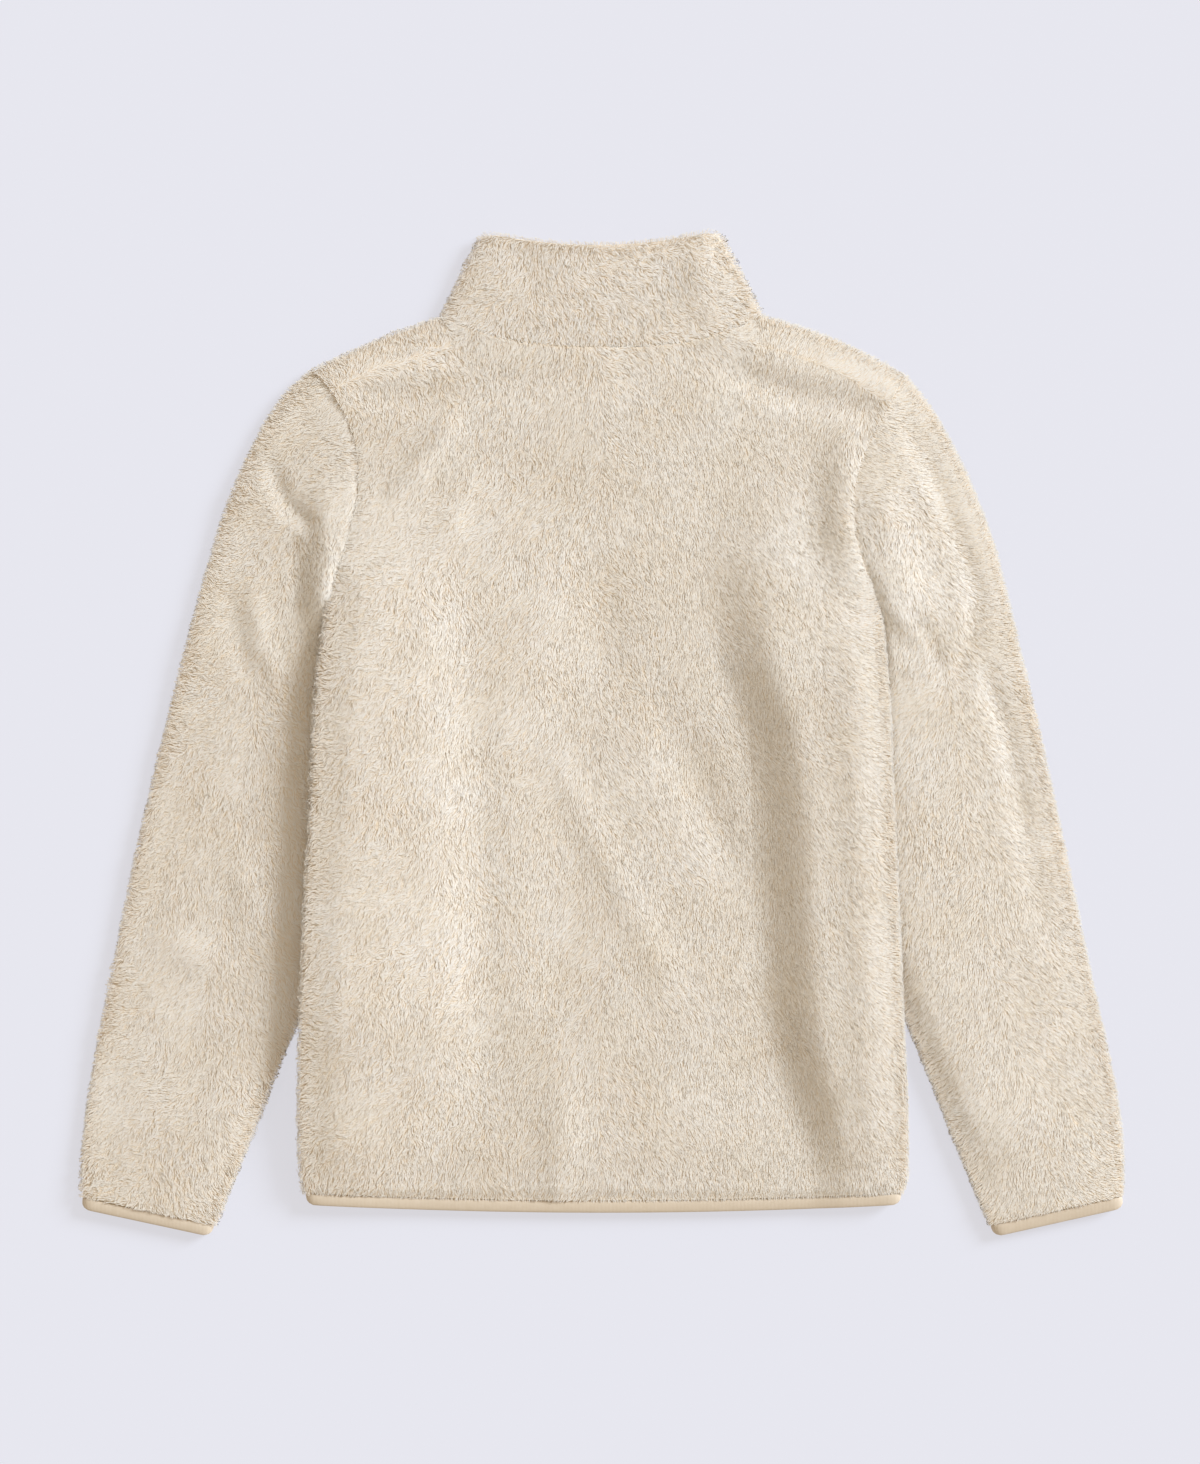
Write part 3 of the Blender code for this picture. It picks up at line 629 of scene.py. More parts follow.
def blades(name, roots, normals, leaning, lit, length, rise, curl, gather, tone, rng):
    """A piece of pile, a blade at each root."""
    count = len(roots)
    side = np.cross(leaning, normals)
    heading = turned(leaning, normals, rng.normal(0.0, HEADING_SCATTER, count))
    size = (length * rng.uniform(*LENGTH_SPREAD, count))[:, None]
    top = normals * (rise * rng.uniform(*RISE_SPREAD, count))[:, None]
    curl = (curl + rng.normal(0.0, CURL_SCATTER, count))[:, None]
    gather = gather[:, None]
    start = roots - heading * ROOT_BEHIND * size - normals * ROOT_DEPTH
    middle = roots + top + side * (MIDDLE_CURL * curl * size + MIDDLE_GATHER * gather)
    tip_top = top * rng.uniform(*TIP_HEIGHT, count)[:, None]
    tip = roots + heading * TIP_AHEAD * size + tip_top + side * (TIP_CURL * curl * size + gather)
    edge = turned(side, heading, rng.normal(0.0, TWIST_SCATTER, count))
    half = edge * (BLADE_WIDTH / 2 * rng.uniform(*WIDTH_SPREAD, count))[:, None]
    points = np.stack([start, middle - half, middle + half, tip], 1)
    points[..., 2] = np.maximum(points[..., 2], LOWEST)
    faces = np.arange(count)[:, None, None] * 4 + np.array(BLADE)
    under = normals[:, 2] < 0.0
    faces[under] = faces[under][..., ::-1]
    faces = faces.reshape(-1, 3)
    made = new_piece(name, points.reshape(-1, 3), faces, fleece_pile)
    lit = np.stack([lit - END_TILT * heading, lit - SIDE_TILT * edge, lit + SIDE_TILT * edge,
                    lit + END_TILT * heading], 1)
    made.data.normals_split_custom_set_from_vertices(unit(lit).reshape(-1, 3).tolist())
    # On the map, a blade is as far across as its tone says, and goes up from its root to its tip.
    shade = np.clip(tone + rng.normal(0.0, TONE_SCATTER, count), 0.03, 0.97)
    places = np.empty((count, 4, 2), np.float32)
    places[..., 0] = shade[:, None] + (0.0, -0.01, 0.01, 0.0)
    places[..., 1] = (0.02, 0.5, 0.5, 0.98)
    layer = made.data.uv_layers.new(name="OFBake")
    layer.data.foreach_set("uv", places.reshape(-1, 2)[faces.ravel()].ravel())
    return made


def facing(grid, way):
    """Unit normals of a grid of points, to the side that way says (1 or -1)."""
    return way * unit(np.cross(np.gradient(grid, axis=1), np.gradient(grid, axis=0)))


def pile(names, grid, way, flow, *, edge, end, headroom, tangle, density, pale, seed):
    """Pile all over a grid of points, in as many pieces as names, each a band of the grid's rows.

    edge and end are how far each point is from a folded edge and from a cut one, headroom is the room
    over the cloth, and tangle is from 0, brushed smooth, to 1, curled. pale is from 0 to 1.
    """
    rng = np.random.default_rng(seed)
    rows, columns = sow(grid, rng)
    kept = rng.random(len(rows)) < read(density, rows, columns)
    rows, columns = rows[kept], columns[kept]
    roots = read(grid, rows, columns)
    normals = unit(read(facing(grid, way), rows, columns))
    tangle = read(tangle, rows, columns) + TANGLE_CHANGE * drift(roots, TANGLE_PATCH, seed + 21)
    tangle = np.clip(tangle, 0.0, 1.0)
    wander = np.zeros(len(roots))
    for patch, brushed, curled, shift in WANDER:
        wander += (brushed + curled * tangle) * drift(roots, patch, seed + shift)
    leaning = turned(read(flow, rows, columns), normals, wander)
    leaning = unit(leaning - normals * (leaning * normals).sum(-1, keepdims=True))
    step = np.cross(leaning, normals) * WISP / 5
    left, right = drift(roots - step, WISP, seed + 3), drift(roots + step, WISP, seed + 3)
    gather = (GATHER_SMOOTH + GATHER_CURLED * tangle) * np.clip(GATHER_STEEPNESS * (right - left), -1.0, 1.0)
    wisp = (left + right) / 2
    curl = CURL_CHANGE * tangle * drift(roots, CURL_PATCH, seed + 39)
    # The pile between wisps is painted darker, as shade in the gaps between them, and a wisp's middle paler.
    tone = pale + TONE_CHANGE * drift(roots, TONE_PATCH, seed + 33) + WISP_PAINTED_SHADE * wisp
    gap = read(edge, rows, columns)
    cut = blend(SHORT_PILE, 1.0, smooth_step(read(end, rows, columns) / SHORT_REACH))
    grown = 1.0 + LENGTH_CHANGE * drift(roots, LENGTH_PATCH, seed + 57)
    long = PILE_LENGTH * cut * (1.0 - CURL_SHORTENS * tangle) * grown
    fluff = 1.0 + EDGE_FLUFF * np.exp(-((gap / EDGE_FLUFF_REACH) ** 2))
    high = PILE_RISE * fluff * (RISE_SMOOTH + RISE_CURLED * tangle) * (1.0 + WISP_RISE * wisp)
    high = np.minimum(high, read(headroom, rows, columns))
    lit = softly_lit(normals, gap)
    order = np.argsort(rows, kind="stable")
    made = []
    for name, band in zip(names, np.array_split(order, len(names)), strict=True):
        fields = (roots, normals, leaning, lit, long, high, curl, gather, tone)
        made.append(blades(name, *(field[band] for field in fields), rng))
    return made


# The body's pile leans down the cloth, and more and more outward close to a seam.
OUTWARD = 0.30
OUTWARD_AT_SEAM = 2.4
EDGE_SWEEP = 0.016
TO_SLEEVE_AT_ARMHOLE = 1.2
ARMHOLE_SWEEP = 0.010
TANGLE_LEFT = 0.85  # curled at the left of the body and brushed smooth at the right
TANGLE_RIGHT = 0.10
BRUSHED_FROM = 0.8  # of the body's width
# The front's pile is hidden but for its edges, so it is thin in the middle.
FRONT_PILE_FULL = 0.008  # in from a seam, and the width over which it thins
FRONT_PILE_THINS = 0.012
FRONT_PILE_MIDDLE = 0.06
FRONT_PRESSED = 0.0012  # how far the front's pile would reach past what presses it flat

along = unit(np.gradient(np.dstack([body, back_high]), axis=0))
outward = np.dstack([seam_way, np.zeros(seam_way.shape[:2])])
to_sleeve = np.dstack([armhole_way, np.zeros(seam_way.shape[:2])])
sweep = OUTWARD + OUTWARD_AT_SEAM * np.exp(-seam_gap / EDGE_SWEEP)
front_flow = unit(-along + outward * sweep[..., None])
at_armhole = np.exp(-armhole_gap / ARMHOLE_SWEEP)[..., None]
back_flow = unit(front_flow + to_sleeve * TO_SLEEVE_AT_ARMHOLE * at_armhole)
hem_gap = body[..., 1] - HEM_Y
across = (body[..., 0] - SHOULDER_LEFT[0]) / HEM_WIDTH
tangle = blend(TANGLE_LEFT, TANGLE_RIGHT, smooth_step(across / BRUSHED_FROM))
everywhere = np.ones(body.shape[:2])
back_pile = pile(
    ["back_pile_low", "back_pile_middle", "back_pile_high"], np.dstack([body, back_high]), 1, back_flow,
    edge=seam_gap, end=hem_gap, headroom=everywhere, tangle=tangle, density=everywhere, pale=0.5, seed=11)

near_edge = 1.0 - smooth_step((seam_gap - FRONT_PILE_FULL) / FRONT_PILE_THINS)
front_density = blend(FRONT_PILE_MIDDLE, 1.0, near_edge)
front_pile = pile(
    ["front_pile"], np.dstack([body, front_low]), -1, front_flow, edge=seam_gap, end=hem_gap,
    headroom=front_low + FRONT_PRESSED, tangle=tangle, density=front_density, pale=0.5, seed=23)


# -------------------- the sleeves
# Each sleeve is one piece of the same fleece, sewn into a tube under the arm and set into the armhole.
# It lies flat beside the body with its underarm side tucked beneath the body's edge.
SLEEVE_SECTIONS = 104
SLEEVE_COLUMNS = 34
SLEEVE_WIDTH = 0.14  # laid flat, about the middle
SET_OUT = 1.5 * SEAM_GAP  # from a seam of the body out to what is set into it
UNDER_GROUND = 0.0006  # between the ground beneath and what it lies on
SLEEVE_PUFF = 0.0014
SLEEVE_PUFF_REACH = 0.040
SLEEVE_ROUNDING = 0.012
FOLD_REACH = 0.010  # how far in from a folded edge the folds are whole
CUFF_SHARE = 0.08  # of the sleeve's length, over which it thins towards the cuff

# A sleeve stays lifted beside its armhole seam, and comes down past a line beside the body and
# below the underarm.
# (how far out that line is, over which it comes down)
FALL_LEFT = (0.195, 0.028)
FALL_RIGHT = (0.200, 0.055)
UNDERARM_FALL = 0.032
ARMHOLE_FLAT = 0.018
ARMHOLE_FALL = 0.045
# How much higher each sleeve stands beside the body than at its outer side.
LEAN_LEFT = 0.0024
LEAN_RIGHT = 0.0048
LEAN_REACH = 0.050  # out from the armhole, where a sleeve still swells as the body does
LEAN_CUFF_SHARE = 0.12
LEAN_EDGE_REACH = 0.020

# From the armhole to the cuff.
# (outer x, outer y, underarm x, underarm y, bow)
SLEEVE_LEFT = (
    (*SHOULDER_LEFT, *UNDERARM_LEFT, ARMHOLE_BOW),
    (-0.2302, 0.2408, -0.1990, 0.0860, 0.0205),
    (-0.2496, 0.2094, -0.2003, 0.0760, 0.0150),
    (-0.2708, 0.1595, -0.1995, 0.0600, 0.0110),
    (-0.2870, 0.1065, -0.1950, 0.0360, 0.0050),
    (-0.3040, 0.0412, -0.1915, 0.0020, 0.0010),
    (-0.3190, -0.0190, -0.1915, -0.0400, 0.0),
    (-0.3355, -0.0910, -0.1945, -0.0980, 0.0),
    (-0.3512, -0.1680, -0.2040, -0.1655, 0.0),
    (-0.3652, -0.2380, -0.2345, -0.2390, 0.0),
    (-0.3730, -0.2905, -0.2540, -0.2895, 0.0),
    (-0.3750, -0.3348, -0.2802, -0.3552, 0.0),
)
SLEEVE_RIGHT = (
    (*SHOULDER_RIGHT, *UNDERARM_RIGHT, ARMHOLE_BOW),
    (0.2366, 0.2322, 0.2014, 0.0840, 0.0205),
    (0.2538, 0.2019, 0.2024, 0.0740, 0.0150),
    (0.2745, 0.1550, 0.2012, 0.0580, 0.0110),
    (0.2889, 0.1061, 0.1972, 0.0350, 0.0050),
    (0.3030, 0.0462, 0.1935, 0.0030, 0.0010),
    (0.3180, -0.0168, 0.1925, -0.0400, 0.0),
    (0.3338, -0.0908, 0.1950, -0.0980, 0.0),
    (0.3498, -0.1678, 0.2040, -0.1655, 0.0),
    (0.3650, -0.2372, 0.2332, -0.2390, 0.0),
    (0.3736, -0.2880, 0.2532, -0.2895, 0.0),
    (0.3750, -0.3342, 0.2800, -0.3554, 0.0),
)

# (x, y, half width, height)
SLEEVE_FOLDS = {
    "left head": (
        (-0.244, 0.212, 0.007, 0.0), (-0.240, 0.194, 0.007, -0.0014), (-0.234, 0.178, 0.007, -0.0020),
        (-0.227, 0.163, 0.007, -0.0022), (-0.214, 0.152, 0.006, -0.0016),
    ),
    "left head, behind the fold": (
        (-0.220, 0.156, 0.006, 0.0), (-0.217, 0.142, 0.006, 0.0010), (-0.216, 0.126, 0.006, 0.0),
    ),
    "left upper arm": (
        (-0.256, 0.118, 0.008, 0.0), (-0.250, 0.086, 0.008, 0.0010), (-0.246, 0.062, 0.008, 0.0012),
        (-0.236, 0.044, 0.008, 0.0011), (-0.228, 0.028, 0.008, 0.0),
    ),
    "left upper arm, outer trough": (
        (-0.272, 0.112, 0.009, 0.0), (-0.266, 0.082, 0.009, -0.0012), (-0.261, 0.056, 0.009, -0.0012),
        (-0.250, 0.034, 0.009, 0.0),
    ),
    "left forearm": (
        (-0.330, -0.140, 0.012, 0.0), (-0.296, -0.160, 0.012, 0.0013), (-0.262, -0.172, 0.012, 0.0),
    ),
    "left elbow": (
        (-0.268, -0.070, 0.012, 0.0), (-0.254, -0.118, 0.012, 0.0016), (-0.256, -0.160, 0.012, 0.0),
    ),
    "right shoulder roll": (
        (0.222, 0.214, 0.007, -0.0010), (0.233, 0.200, 0.007, -0.0016), (0.252, 0.150, 0.007, -0.0019),
        (0.269, 0.104, 0.007, -0.0020), (0.267, 0.074, 0.007, -0.0018), (0.259, 0.048, 0.007, -0.0013),
        (0.248, 0.026, 0.007, 0.0),
    ),
    "right outer side": (
        (0.272, 0.060, 0.007, 0.0), (0.280, 0.030, 0.007, -0.0022), (0.291, 0.000, 0.008, -0.0020),
        (0.303, -0.060, 0.009, -0.0018), (0.312, -0.120, 0.010, -0.0010), (0.318, -0.160, 0.012, 0.0),
    ),
    "right head": ((0.205, 0.190, 0.010, 0.0), (0.203, 0.160, 0.010, 0.0010), (0.208, 0.130, 0.010, 0.0)),
    "right upper arm, outer arc": (
        (0.208, 0.100, 0.006, -0.0005), (0.220, 0.090, 0.006, -0.0012), (0.230, 0.077, 0.006, -0.0015),
        (0.238, 0.064, 0.006, -0.0014), (0.243, 0.048, 0.006, -0.0011), (0.252, 0.030, 0.006, 0.0),
    ),
    "right upper arm, inner arc": (
        (0.203, 0.078, 0.006, -0.0008), (0.214, 0.068, 0.006, -0.0010), (0.225, 0.058, 0.006, -0.0008),
        (0.234, 0.040, 0.006, 0.0),
    ),
}


def across_flat(line, shares):
    """How wide a tube laid flat is in each row, and how far each point is from its nearer fold."""
    width = np.linalg.norm(np.diff(line, axis=1), axis=2).sum(1)[:, None]
    return width, np.minimum(shares, 1.0 - shares) * width


def drawn_in(line, shares, wall, width):
    """A line of that width, drawn in at both ends by the thickness of a wall."""
    inset = wall / width + shares * (1.0 - 2.0 * wall / width)
    return np.stack([np.interp(inset, shares, column) for column in line.T], 1)


def round_tube(upper, lower):
    """Rows of values over a tube's upper side, going on back beneath it."""
    return np.concatenate([upper, lower[:, -2:0:-1]], 1)


def flat_rings(line, shares, width, middle, swell, over):
    """The outer and the inner rings of a tube laid flat.

    line is its plan from fold to fold in each row, middle the height of its folds, swell how far its
    upper side rises, and over how far the cloth is bent over, from 0 at a fold to 1.
    """
    rings = []
    for wall in (0.0, GROUND):
        plan = np.array([drawn_in(row, shares, wall, wide) for row, wide in zip(line, width, strict=True)])
        high = middle + (SEAM_LEVEL - PILE_ROOTS - wall + swell) * over
        low = middle - (SEAM_LEVEL - UNDER_GROUND - wall) * over
        rings.append(round_tube(np.dstack([plan, high]), np.dstack([plan, low])))
    return rings


def sleeve_rings(rows, skew, edge, fall, full_lean):
    """The outer and the inner rings of a sleeve, and how far its upper side's points are from a fold."""
    sections = through_rows(rows, SLEEVE_SECTIONS)
    sections[0, 0] += np.sign(sections[0, 0]) * SET_OUT
    shares = rim_spaced(SLEEVE_WIDTH, SLEEVE_COLUMNS)
    line = np.array([armhole_points(row[:2], row[2:4], row[4], skew, shares) for row in sections])
    width, from_fold = across_flat(line, shares)
    gap, share, piece = nearest_on_line(line, edge)
    edge_lift = side_lift(edge)
    lifted = blend(edge_lift[piece], edge_lift[piece + 1], share)
    down = 1.0 - smooth_step((np.abs(line[..., 0]) - fall[0]) / fall[1])
    down = down * (1.0 - smooth_step((edge[0, 1] - line[..., 1]) / UNDERARM_FALL))
    middle = SEAM_LEVEL + lifted * down * (1.0 - smooth_step((gap - ARMHOLE_FLAT) / ARMHOLE_FALL))
    to_cuff = 1.0 - np.arange(SLEEVE_SECTIONS)[:, None] / (SLEEVE_SECTIONS - 1)
    full = blend(SLEEVE_PUFF, BODY_PUFF, 1.0 - smooth_step(gap / LEAN_REACH))
    puff = blend(END_PUFF, full, smooth_step(to_cuff / CUFF_SHARE))
    puff = puff * smooth_step(from_fold / SLEEVE_PUFF_REACH)
    lean = smooth_step(to_cuff / LEAN_CUFF_SHARE) * smooth_step(from_fold / LEAN_EDGE_REACH)
    lean = lean * smooth_step(shares)
    puff = puff + full_lean * lean * smooth_step(gap / LEAN_REACH)
    folds = fold_height(line, SLEEVE_FOLDS) * smooth_step(from_fold / FOLD_REACH)
    folds -= armhole_groove(gap, line[..., 1])
    over = rounding(from_fold, SLEEVE_ROUNDING)
    outer, inner = flat_rings(line, shares, width, middle, puff + folds, over)
    return outer, inner, from_fold


def tube_shell(name, outer, inner, material):
    """A wall of cloth between an outer and an inner run of rings, closed at both ends."""
    sections, around = outer.shape[:2]
    count = sections * around
    points = np.vstack([outer.reshape(count, 3), inner.reshape(count, 3)])
    first = np.arange(around)
    last = first + count - around
    on, on_last = np.roll(first, -1), np.roll(last, -1)
    faces = np.vstack([
        grid_faces(sections, around, True),
        grid_faces(sections, around, True, count)[:, ::-1],
        np.stack([first, first + count, on + count, on], 1),
        np.stack([last, on_last, on_last + count, last + count], 1),
    ])
    corner, following, third = (points[faces[:, number]] for number in range(3))
    twice_area = np.cross(following - corner, third - corner)
    if (twice_area * corner).sum() < 0:
        faces = faces[:, ::-1]
    return new_piece(name, points, faces, material)


# Pile is thin beneath a tube, which lies on it, but for its edges.
UNDERSIDE_FULL = 0.006  # in from a fold, and the width over which it thins
UNDERSIDE_THINS = 0.010
UNDERSIDE_PILE = 0.08
UNDERSIDE_PRESSED = 0.001  # how far it would reach past the surface that presses it flat


def closed_round(outer, from_fold):
    """A tube's outer rings closed up for its pile.

    Gives the points, how far each is from a fold, the way across to the nearer fold, how dense the
    pile is and the room for it.
    """
    ring = np.concatenate([outer, outer[:, :1]], 1)
    from_fold = round_tube(from_fold, from_fold)
    from_fold = np.concatenate([from_fold, from_fold[:, :1]], 1)
    columns = np.arange(ring.shape[1])
    half = ring.shape[1] // 2
    quarter = np.minimum(columns // (half / 2), 3)  # two quarters above and two beneath
    to_fold = unit(np.gradient(ring, axis=1)) * np.where(quarter % 2 == 0, -1.0, 1.0)[:, None]
    beneath = columns > half
    thinned = beneath * smooth_step((from_fold - UNDERSIDE_FULL) / UNDERSIDE_THINS)
    density = blend(1.0, UNDERSIDE_PILE, thinned)
    headroom = np.where(beneath, ring[..., 2] + UNDERSIDE_PRESSED, 1.0)
    return ring, from_fold, to_fold, density, headroom


SLEEVE_OUTWARD = 0.25
SLEEVE_OUTWARD_AT_FOLD = 2.2


def sleeve(side, rows, skew, edge, fall, full_lean, tangle, seed):
    """One sleeve: its shell, and its pile in a list."""
    outer, inner, from_fold = sleeve_rings(rows, skew, edge, fall, full_lean)
    shell = tube_shell(f"sleeve_{side}_fleece", outer, inner, fleece_ground)
    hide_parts(f"sleeve_{side}")
    ring, from_fold, to_fold, density, headroom = closed_round(outer, from_fold)
    sweep = SLEEVE_OUTWARD + SLEEVE_OUTWARD_AT_FOLD * np.exp(-from_fold / EDGE_SWEEP)
    flow = unit(unit(np.gradient(ring, axis=0)) + to_fold * sweep[..., None])
    to_cuff = np.linalg.norm(ring - ring[-1:], axis=2)
    made = pile(
        [f"sleeve_{side}_pile"], ring, np.sign(rows[0][0]), flow, edge=from_fold, end=to_cuff,
        headroom=headroom, tangle=np.full(to_cuff.shape, tangle), density=density, pale=0.5, seed=seed)
    return shell, made


sleeve_left = sleeve(
    "left", SLEEVE_LEFT, ARMHOLE_SKEW_LEFT, ARMHOLE_LEFT, FALL_LEFT, LEAN_LEFT, tangle=0.65, seed=37)
sleeve_right = sleeve(
    "right", SLEEVE_RIGHT, ARMHOLE_SKEW_RIGHT, ARMHOLE_RIGHT, FALL_RIGHT, LEAN_RIGHT, tangle=0.15, seed=53)


# -------------------- the collar
# The stand collar is a band of fleece sewn round the neck. It lies flat with its back half on top, and
# its pile rolls down over the neck seam.
COLLAR_TOP_LEFT = (-0.0870, 0.3614)
COLLAR_TOP_RIGHT = (0.0843, 0.3628)
COLLAR_DIP = 0.0102
COLLAR_CORNER = 0.0040
COLLAR_ROWS = 18
COLLAR_PUFF_REACH = 0.030
TOP_ROLL = 0.0028  # how far the upper side bends down at the collar's top edge
TOP_ROLL_REACH = 0.007

# (x, y, half width, height)
COLLAR_FOLDS = {
    "right end": ((0.074, 0.362, 0.012, 0.0024), (0.070, 0.330, 0.012, 0.0020), (0.066, 0.300, 0.012, 0.0)),
    "left end": (
        (-0.062, 0.358, 0.012, -0.0014), (-0.055, 0.335, 0.012, -0.0010), (-0.050, 0.310, 0.012, 0.0),
    ),
}


def collar_rings():
    """The same for the collar."""
    rise = np.linspace(0.0, 1.0, COLLAR_ROWS)[:, None, None]
    low = neck_points(NECK_SHARES) + (0.0, SET_OUT)
    high = blend(np.array(COLLAR_TOP_LEFT), np.array(COLLAR_TOP_RIGHT), NECK_SHARES[:, None])
    from_middle = np.abs(2.0 * NECK_SHARES - 1.0)
    high[:, 1] -= COLLAR_DIP * (1.0 - from_middle**2) + COLLAR_CORNER * from_middle**16
    line = blend(low, high, rise)
    width, from_fold = across_flat(line, NECK_SHARES)
    from_top = np.linalg.norm(line - line[-1:], axis=2)
    swell = END_PUFF * smooth_step(from_fold / COLLAR_PUFF_REACH)
    swell = swell + fold_height(line, COLLAR_FOLDS) * smooth_step(from_fold / FOLD_REACH)
    swell = swell - TOP_ROLL * (1.0 - rounding(from_top, TOP_ROLL_REACH))
    outer, inner = flat_rings(line, NECK_SHARES, width, SEAM_LEVEL, swell, rounding(from_fold))
    return outer, inner, from_fold


COLLAR_OUTWARD = 0.2
COLLAR_OUTWARD_AT_FOLD = 2.0
COLLAR_SWEEP = 0.012
UPWARD_AT_TOP = 1.6  # close to the top edge the pile leans up over it
UPWARD_REACH = 0.006
COLLAR_TANGLE = 0.95
COLLAR_PALE = 0.72

outer, inner, from_fold = collar_rings()
collar = tube_shell("collar_fleece", outer, inner, fleece_ground)
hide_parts("collar")
ring, from_fold, to_fold, density, headroom = closed_round(outer, from_fold)
top_gap = np.linalg.norm(ring - ring[-1:], axis=2)
sweep = COLLAR_OUTWARD + COLLAR_OUTWARD_AT_FOLD * np.exp(-from_fold / COLLAR_SWEEP)
upward = UPWARD_AT_TOP * np.exp(-top_gap / UPWARD_REACH)
down = -unit(np.gradient(ring, axis=0))
flow = unit(down * (1.0 - upward)[..., None] + to_fold * sweep[..., None])
collar_pile = pile(
    ["collar_pile"], ring, 1, flow, edge=np.minimum(from_fold, top_gap), end=top_gap, headroom=headroom,
    tangle=np.full(top_gap.shape, COLLAR_TANGLE), density=density, pale=COLLAR_PALE, seed=71)


# -------------------- the bindings
# Hem and cuffs are bound with smooth stretch knit folded over the raw edge of the fleece. The pile
# above hangs over the binding's seam.
BINDING_WIDTH = 0.0085
BINDING_KNIT = 0.0012
BINDING_SET_IN = 0.0006  # how much thinner than the fleece it is above and beneath
BINDING_ROUNDING = 0.007
BINDING_RINGS = 10
THIN_AT_SEAM = 0.72  # the share of its thickness at its seam and at its fold
CORNER_WIDTH = 0.25  # the share of its width at its corners
BINDING_RISE = 0.0004
HEM_COLUMNS = 90
CUFF_COLUMNS = 30
CUFF_WIDTH = 0.095

# Fine stretch knit: close ribs, faintly glossy.
BINDING_PALE = (0.70, 0.58, 0.44, 1.0)
BINDING_DEEP = (0.63, 0.51, 0.37, 1.0)
binding_knit = new_material("binding_knit", {"Roughness": 0.6, "Sheen Weight": 0.15})
tint = texture(binding_knit, "ShaderNodeTexNoise", {"Scale": 220.0})
join(binding_knit, colours(binding_knit, tint.outputs["Fac"], BINDING_DEEP, BINDING_PALE), "Base Color")
ribs = texture(binding_knit, "ShaderNodeTexWave", {"Scale": 320.0, "Distortion": 0.6})
ribs.wave_type = "BANDS"
ribs.bands_direction = "X"
emboss(binding_knit, ribs.outputs["Fac"], 0.3, 0.0002)


def binding(name, node, line_at, shares, raised):
    """A binding: rings from the cloth's edge outwards, raised with it.

    line_at gives the line at a distance from the cloth.
    """
    outer, inner = [], []
    for turn in np.linspace(0.0, np.pi, BINDING_RINGS):
        reach = BINDING_WIDTH / 2 * (1.0 - np.cos(turn))
        full = blend(THIN_AT_SEAM, 1.0, np.sin(turn))
        line = line_at(shares, SEAM_GAP + reach)
        width = np.linalg.norm(np.diff(line, axis=0), axis=1).sum()
        from_end = np.minimum(shares, 1.0 - shares) * width
        over = rounding(from_end, BINDING_ROUNDING)
        line = line_at(shares, SEAM_GAP + reach * blend(CORNER_WIDTH, 1.0, over))
        for rings, wall in ((outer, 0.0), (inner, BINDING_KNIT)):
            plan = drawn_in(line, shares, wall, width)
            half = (SEAM_LEVEL - BINDING_SET_IN - wall) * full * over
            top = np.column_stack([plan, raised + SEAM_LEVEL + half + BINDING_RISE * over])
            bottom = np.column_stack([plan, raised + SEAM_LEVEL - half])[-2:0:-1]
            rings.append(np.vstack([top, bottom]))
    made = tube_shell(name, np.array(outer), np.array(inner), binding_knit)
    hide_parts(node)
    return made


def cuff_line(rows):
    """The line across a cuff, at distances out from the sleeve's end."""
    outer_end, underarm_end = np.array(rows[-1][:2]), np.array(rows[-1][2:4])
    across = underarm_end - outer_end
    along = np.array([-across[1], across[0]]) / np.linalg.norm(across) * np.sign(outer_end[0])
    return lambda shares, reach: outer_end + shares[:, None] * across + np.multiply.outer(reach, along)


def hem_line(shares, reach):
    """The line along the hem, at distances out from the body."""
    return hem_points(shares) - np.multiply.outer(reach, (0.0, 1.0))


hem_shares = rim_spaced(HEM_WIDTH, HEM_COLUMNS)
hem_lift = np.interp(hem_points(hem_shares)[:, 0], body[0, :, 0], lift[0])
hem = binding("hem_band", "hem_binding", hem_line, hem_shares, hem_lift)
cuff_shares = rim_spaced(CUFF_WIDTH, CUFF_COLUMNS)
for side, rows, made, area in (
        ("left", SLEEVE_LEFT, sleeve_left, 0.135), ("right", SLEEVE_RIGHT, sleeve_right, 0.132)):
    cuff = binding(f"cuff_band_{side}", f"cuff_binding_{side}", cuff_line(rows), cuff_shares, 0.0)


# -------------------- the studio
# A wide pale floor of paper, lit from within so that shadows on it stay thin, one large soft light low
# on the right, an even sky, and a pale backdrop of the floor's colour behind it all.
FLOOR_SIZE = 12.0
FLOOR_COLOUR = (0.22, 0.22, 0.24, 1.0)
FLOOR_GLOW_COLOUR = (0.926, 0.926, 1.0, 1.0)
FLOOR_GLOW = 0.618
KEY_AZIMUTH = np.radians(30.0)
KEY_ELEVATION = np.radians(24.0)
KEY_SOFTNESS = np.radians(22.0)
KEY_STRENGTH = 3.80
KEY_COLOUR = (0.895, 1.0, 1.145)
SKY_STRENGTH = 0.528
SKY_COLOUR = (1.10, 1.0, 0.86, 1.0)
BACKDROP_COLOUR = (0.80, 0.80, 0.865, 1.0)
FRAME_HEIGHT = 1.05408  # of what the camera takes in, measured at the height it is aimed at
LENS = 100.0
SENSOR = 36.0
AIM = (-0.0018, 0.0004, 0.012)

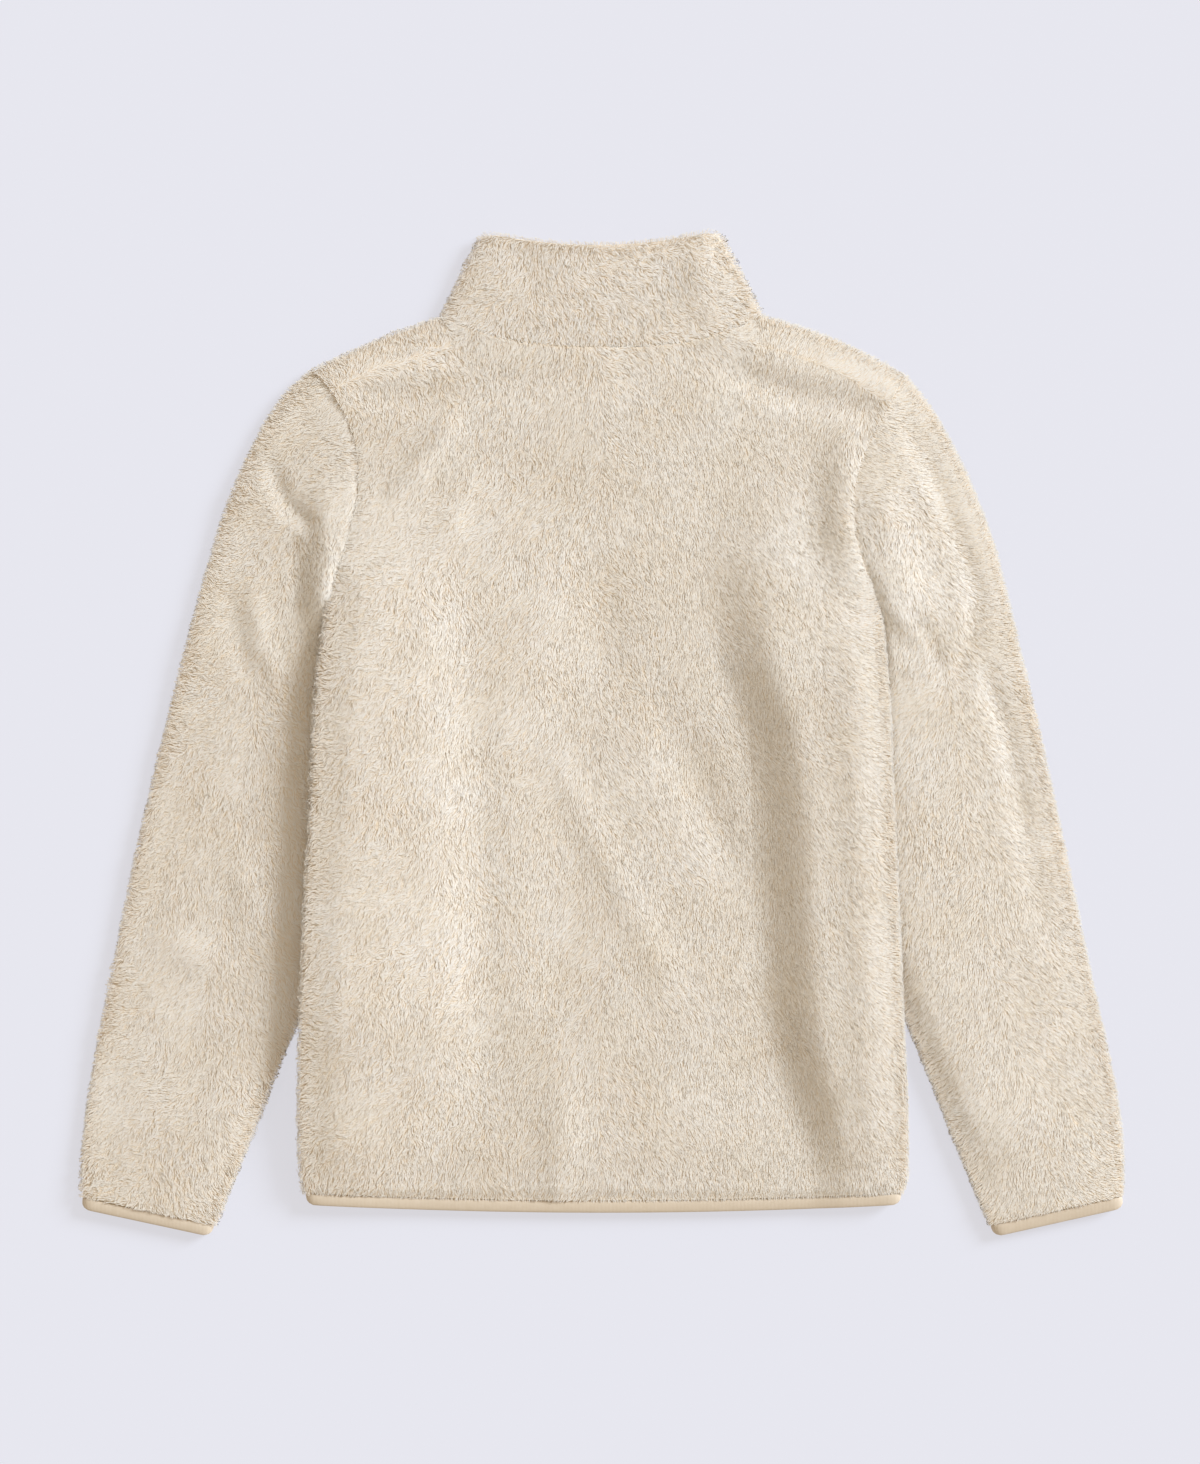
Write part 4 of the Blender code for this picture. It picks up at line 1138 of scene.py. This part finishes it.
half = FLOOR_SIZE / 2
mesh = bpy.data.meshes.new("floor")
mesh.from_pydata([(-half, -half, 0), (half, -half, 0), (half, half, 0), (-half, half, 0)], [], [(0, 1, 2, 3)])
mesh.materials.append(new_material("floor_paper", {
    "Base Color": FLOOR_COLOUR,
    "Roughness": 0.9,
    "Specular IOR Level": 0.1,
    "Emission Color": FLOOR_GLOW_COLOUR,
    "Emission Strength": FLOOR_GLOW,
}))
floor = bpy.data.objects.new("floor", mesh)
bpy.context.collection.objects.link(floor)

key = bpy.data.lights.new("key", "SUN")
key.energy = KEY_STRENGTH
key.color = KEY_COLOUR
key.angle = KEY_SOFTNESS
key_light = bpy.data.objects.new("key", key)
towards = Vector((
    np.cos(KEY_ELEVATION) * np.cos(KEY_AZIMUTH), np.cos(KEY_ELEVATION) * np.sin(KEY_AZIMUTH),
    np.sin(KEY_ELEVATION)))
key_light.rotation_euler = towards.to_track_quat("Z", "Y").to_euler()
bpy.context.collection.objects.link(key_light)

# The sky's warm light falls on everything, and the camera sees the backdrop in its place.
sky = bpy.data.worlds.new("sky")
sky.use_nodes = True
nodes, links = sky.node_tree.nodes, sky.node_tree.links
set_inputs(nodes["Background"], {"Color": SKY_COLOUR, "Strength": SKY_STRENGTH})
backdrop = nodes.new("ShaderNodeBackground")
set_inputs(backdrop, {"Color": BACKDROP_COLOUR})
seen = nodes.new("ShaderNodeLightPath")
either = nodes.new("ShaderNodeMixShader")
links.new(seen.outputs["Is Camera Ray"], either.inputs["Fac"])
links.new(nodes["Background"].outputs["Background"], either.inputs[1])
links.new(backdrop.outputs["Background"], either.inputs[2])
links.new(either.outputs["Shader"], nodes["World Output"].inputs["Surface"])
scene = bpy.context.scene
scene.world = sky
scene.view_settings.view_transform = "Standard"


lens = bpy.data.cameras.new("camera")
lens.lens = LENS
lens.sensor_width = SENSOR
camera = bpy.data.objects.new("camera", lens)
camera.location = (AIM[0], AIM[1], AIM[2] + FRAME_HEIGHT * LENS / SENSOR)
bpy.context.collection.objects.link(camera)
scene.camera = camera
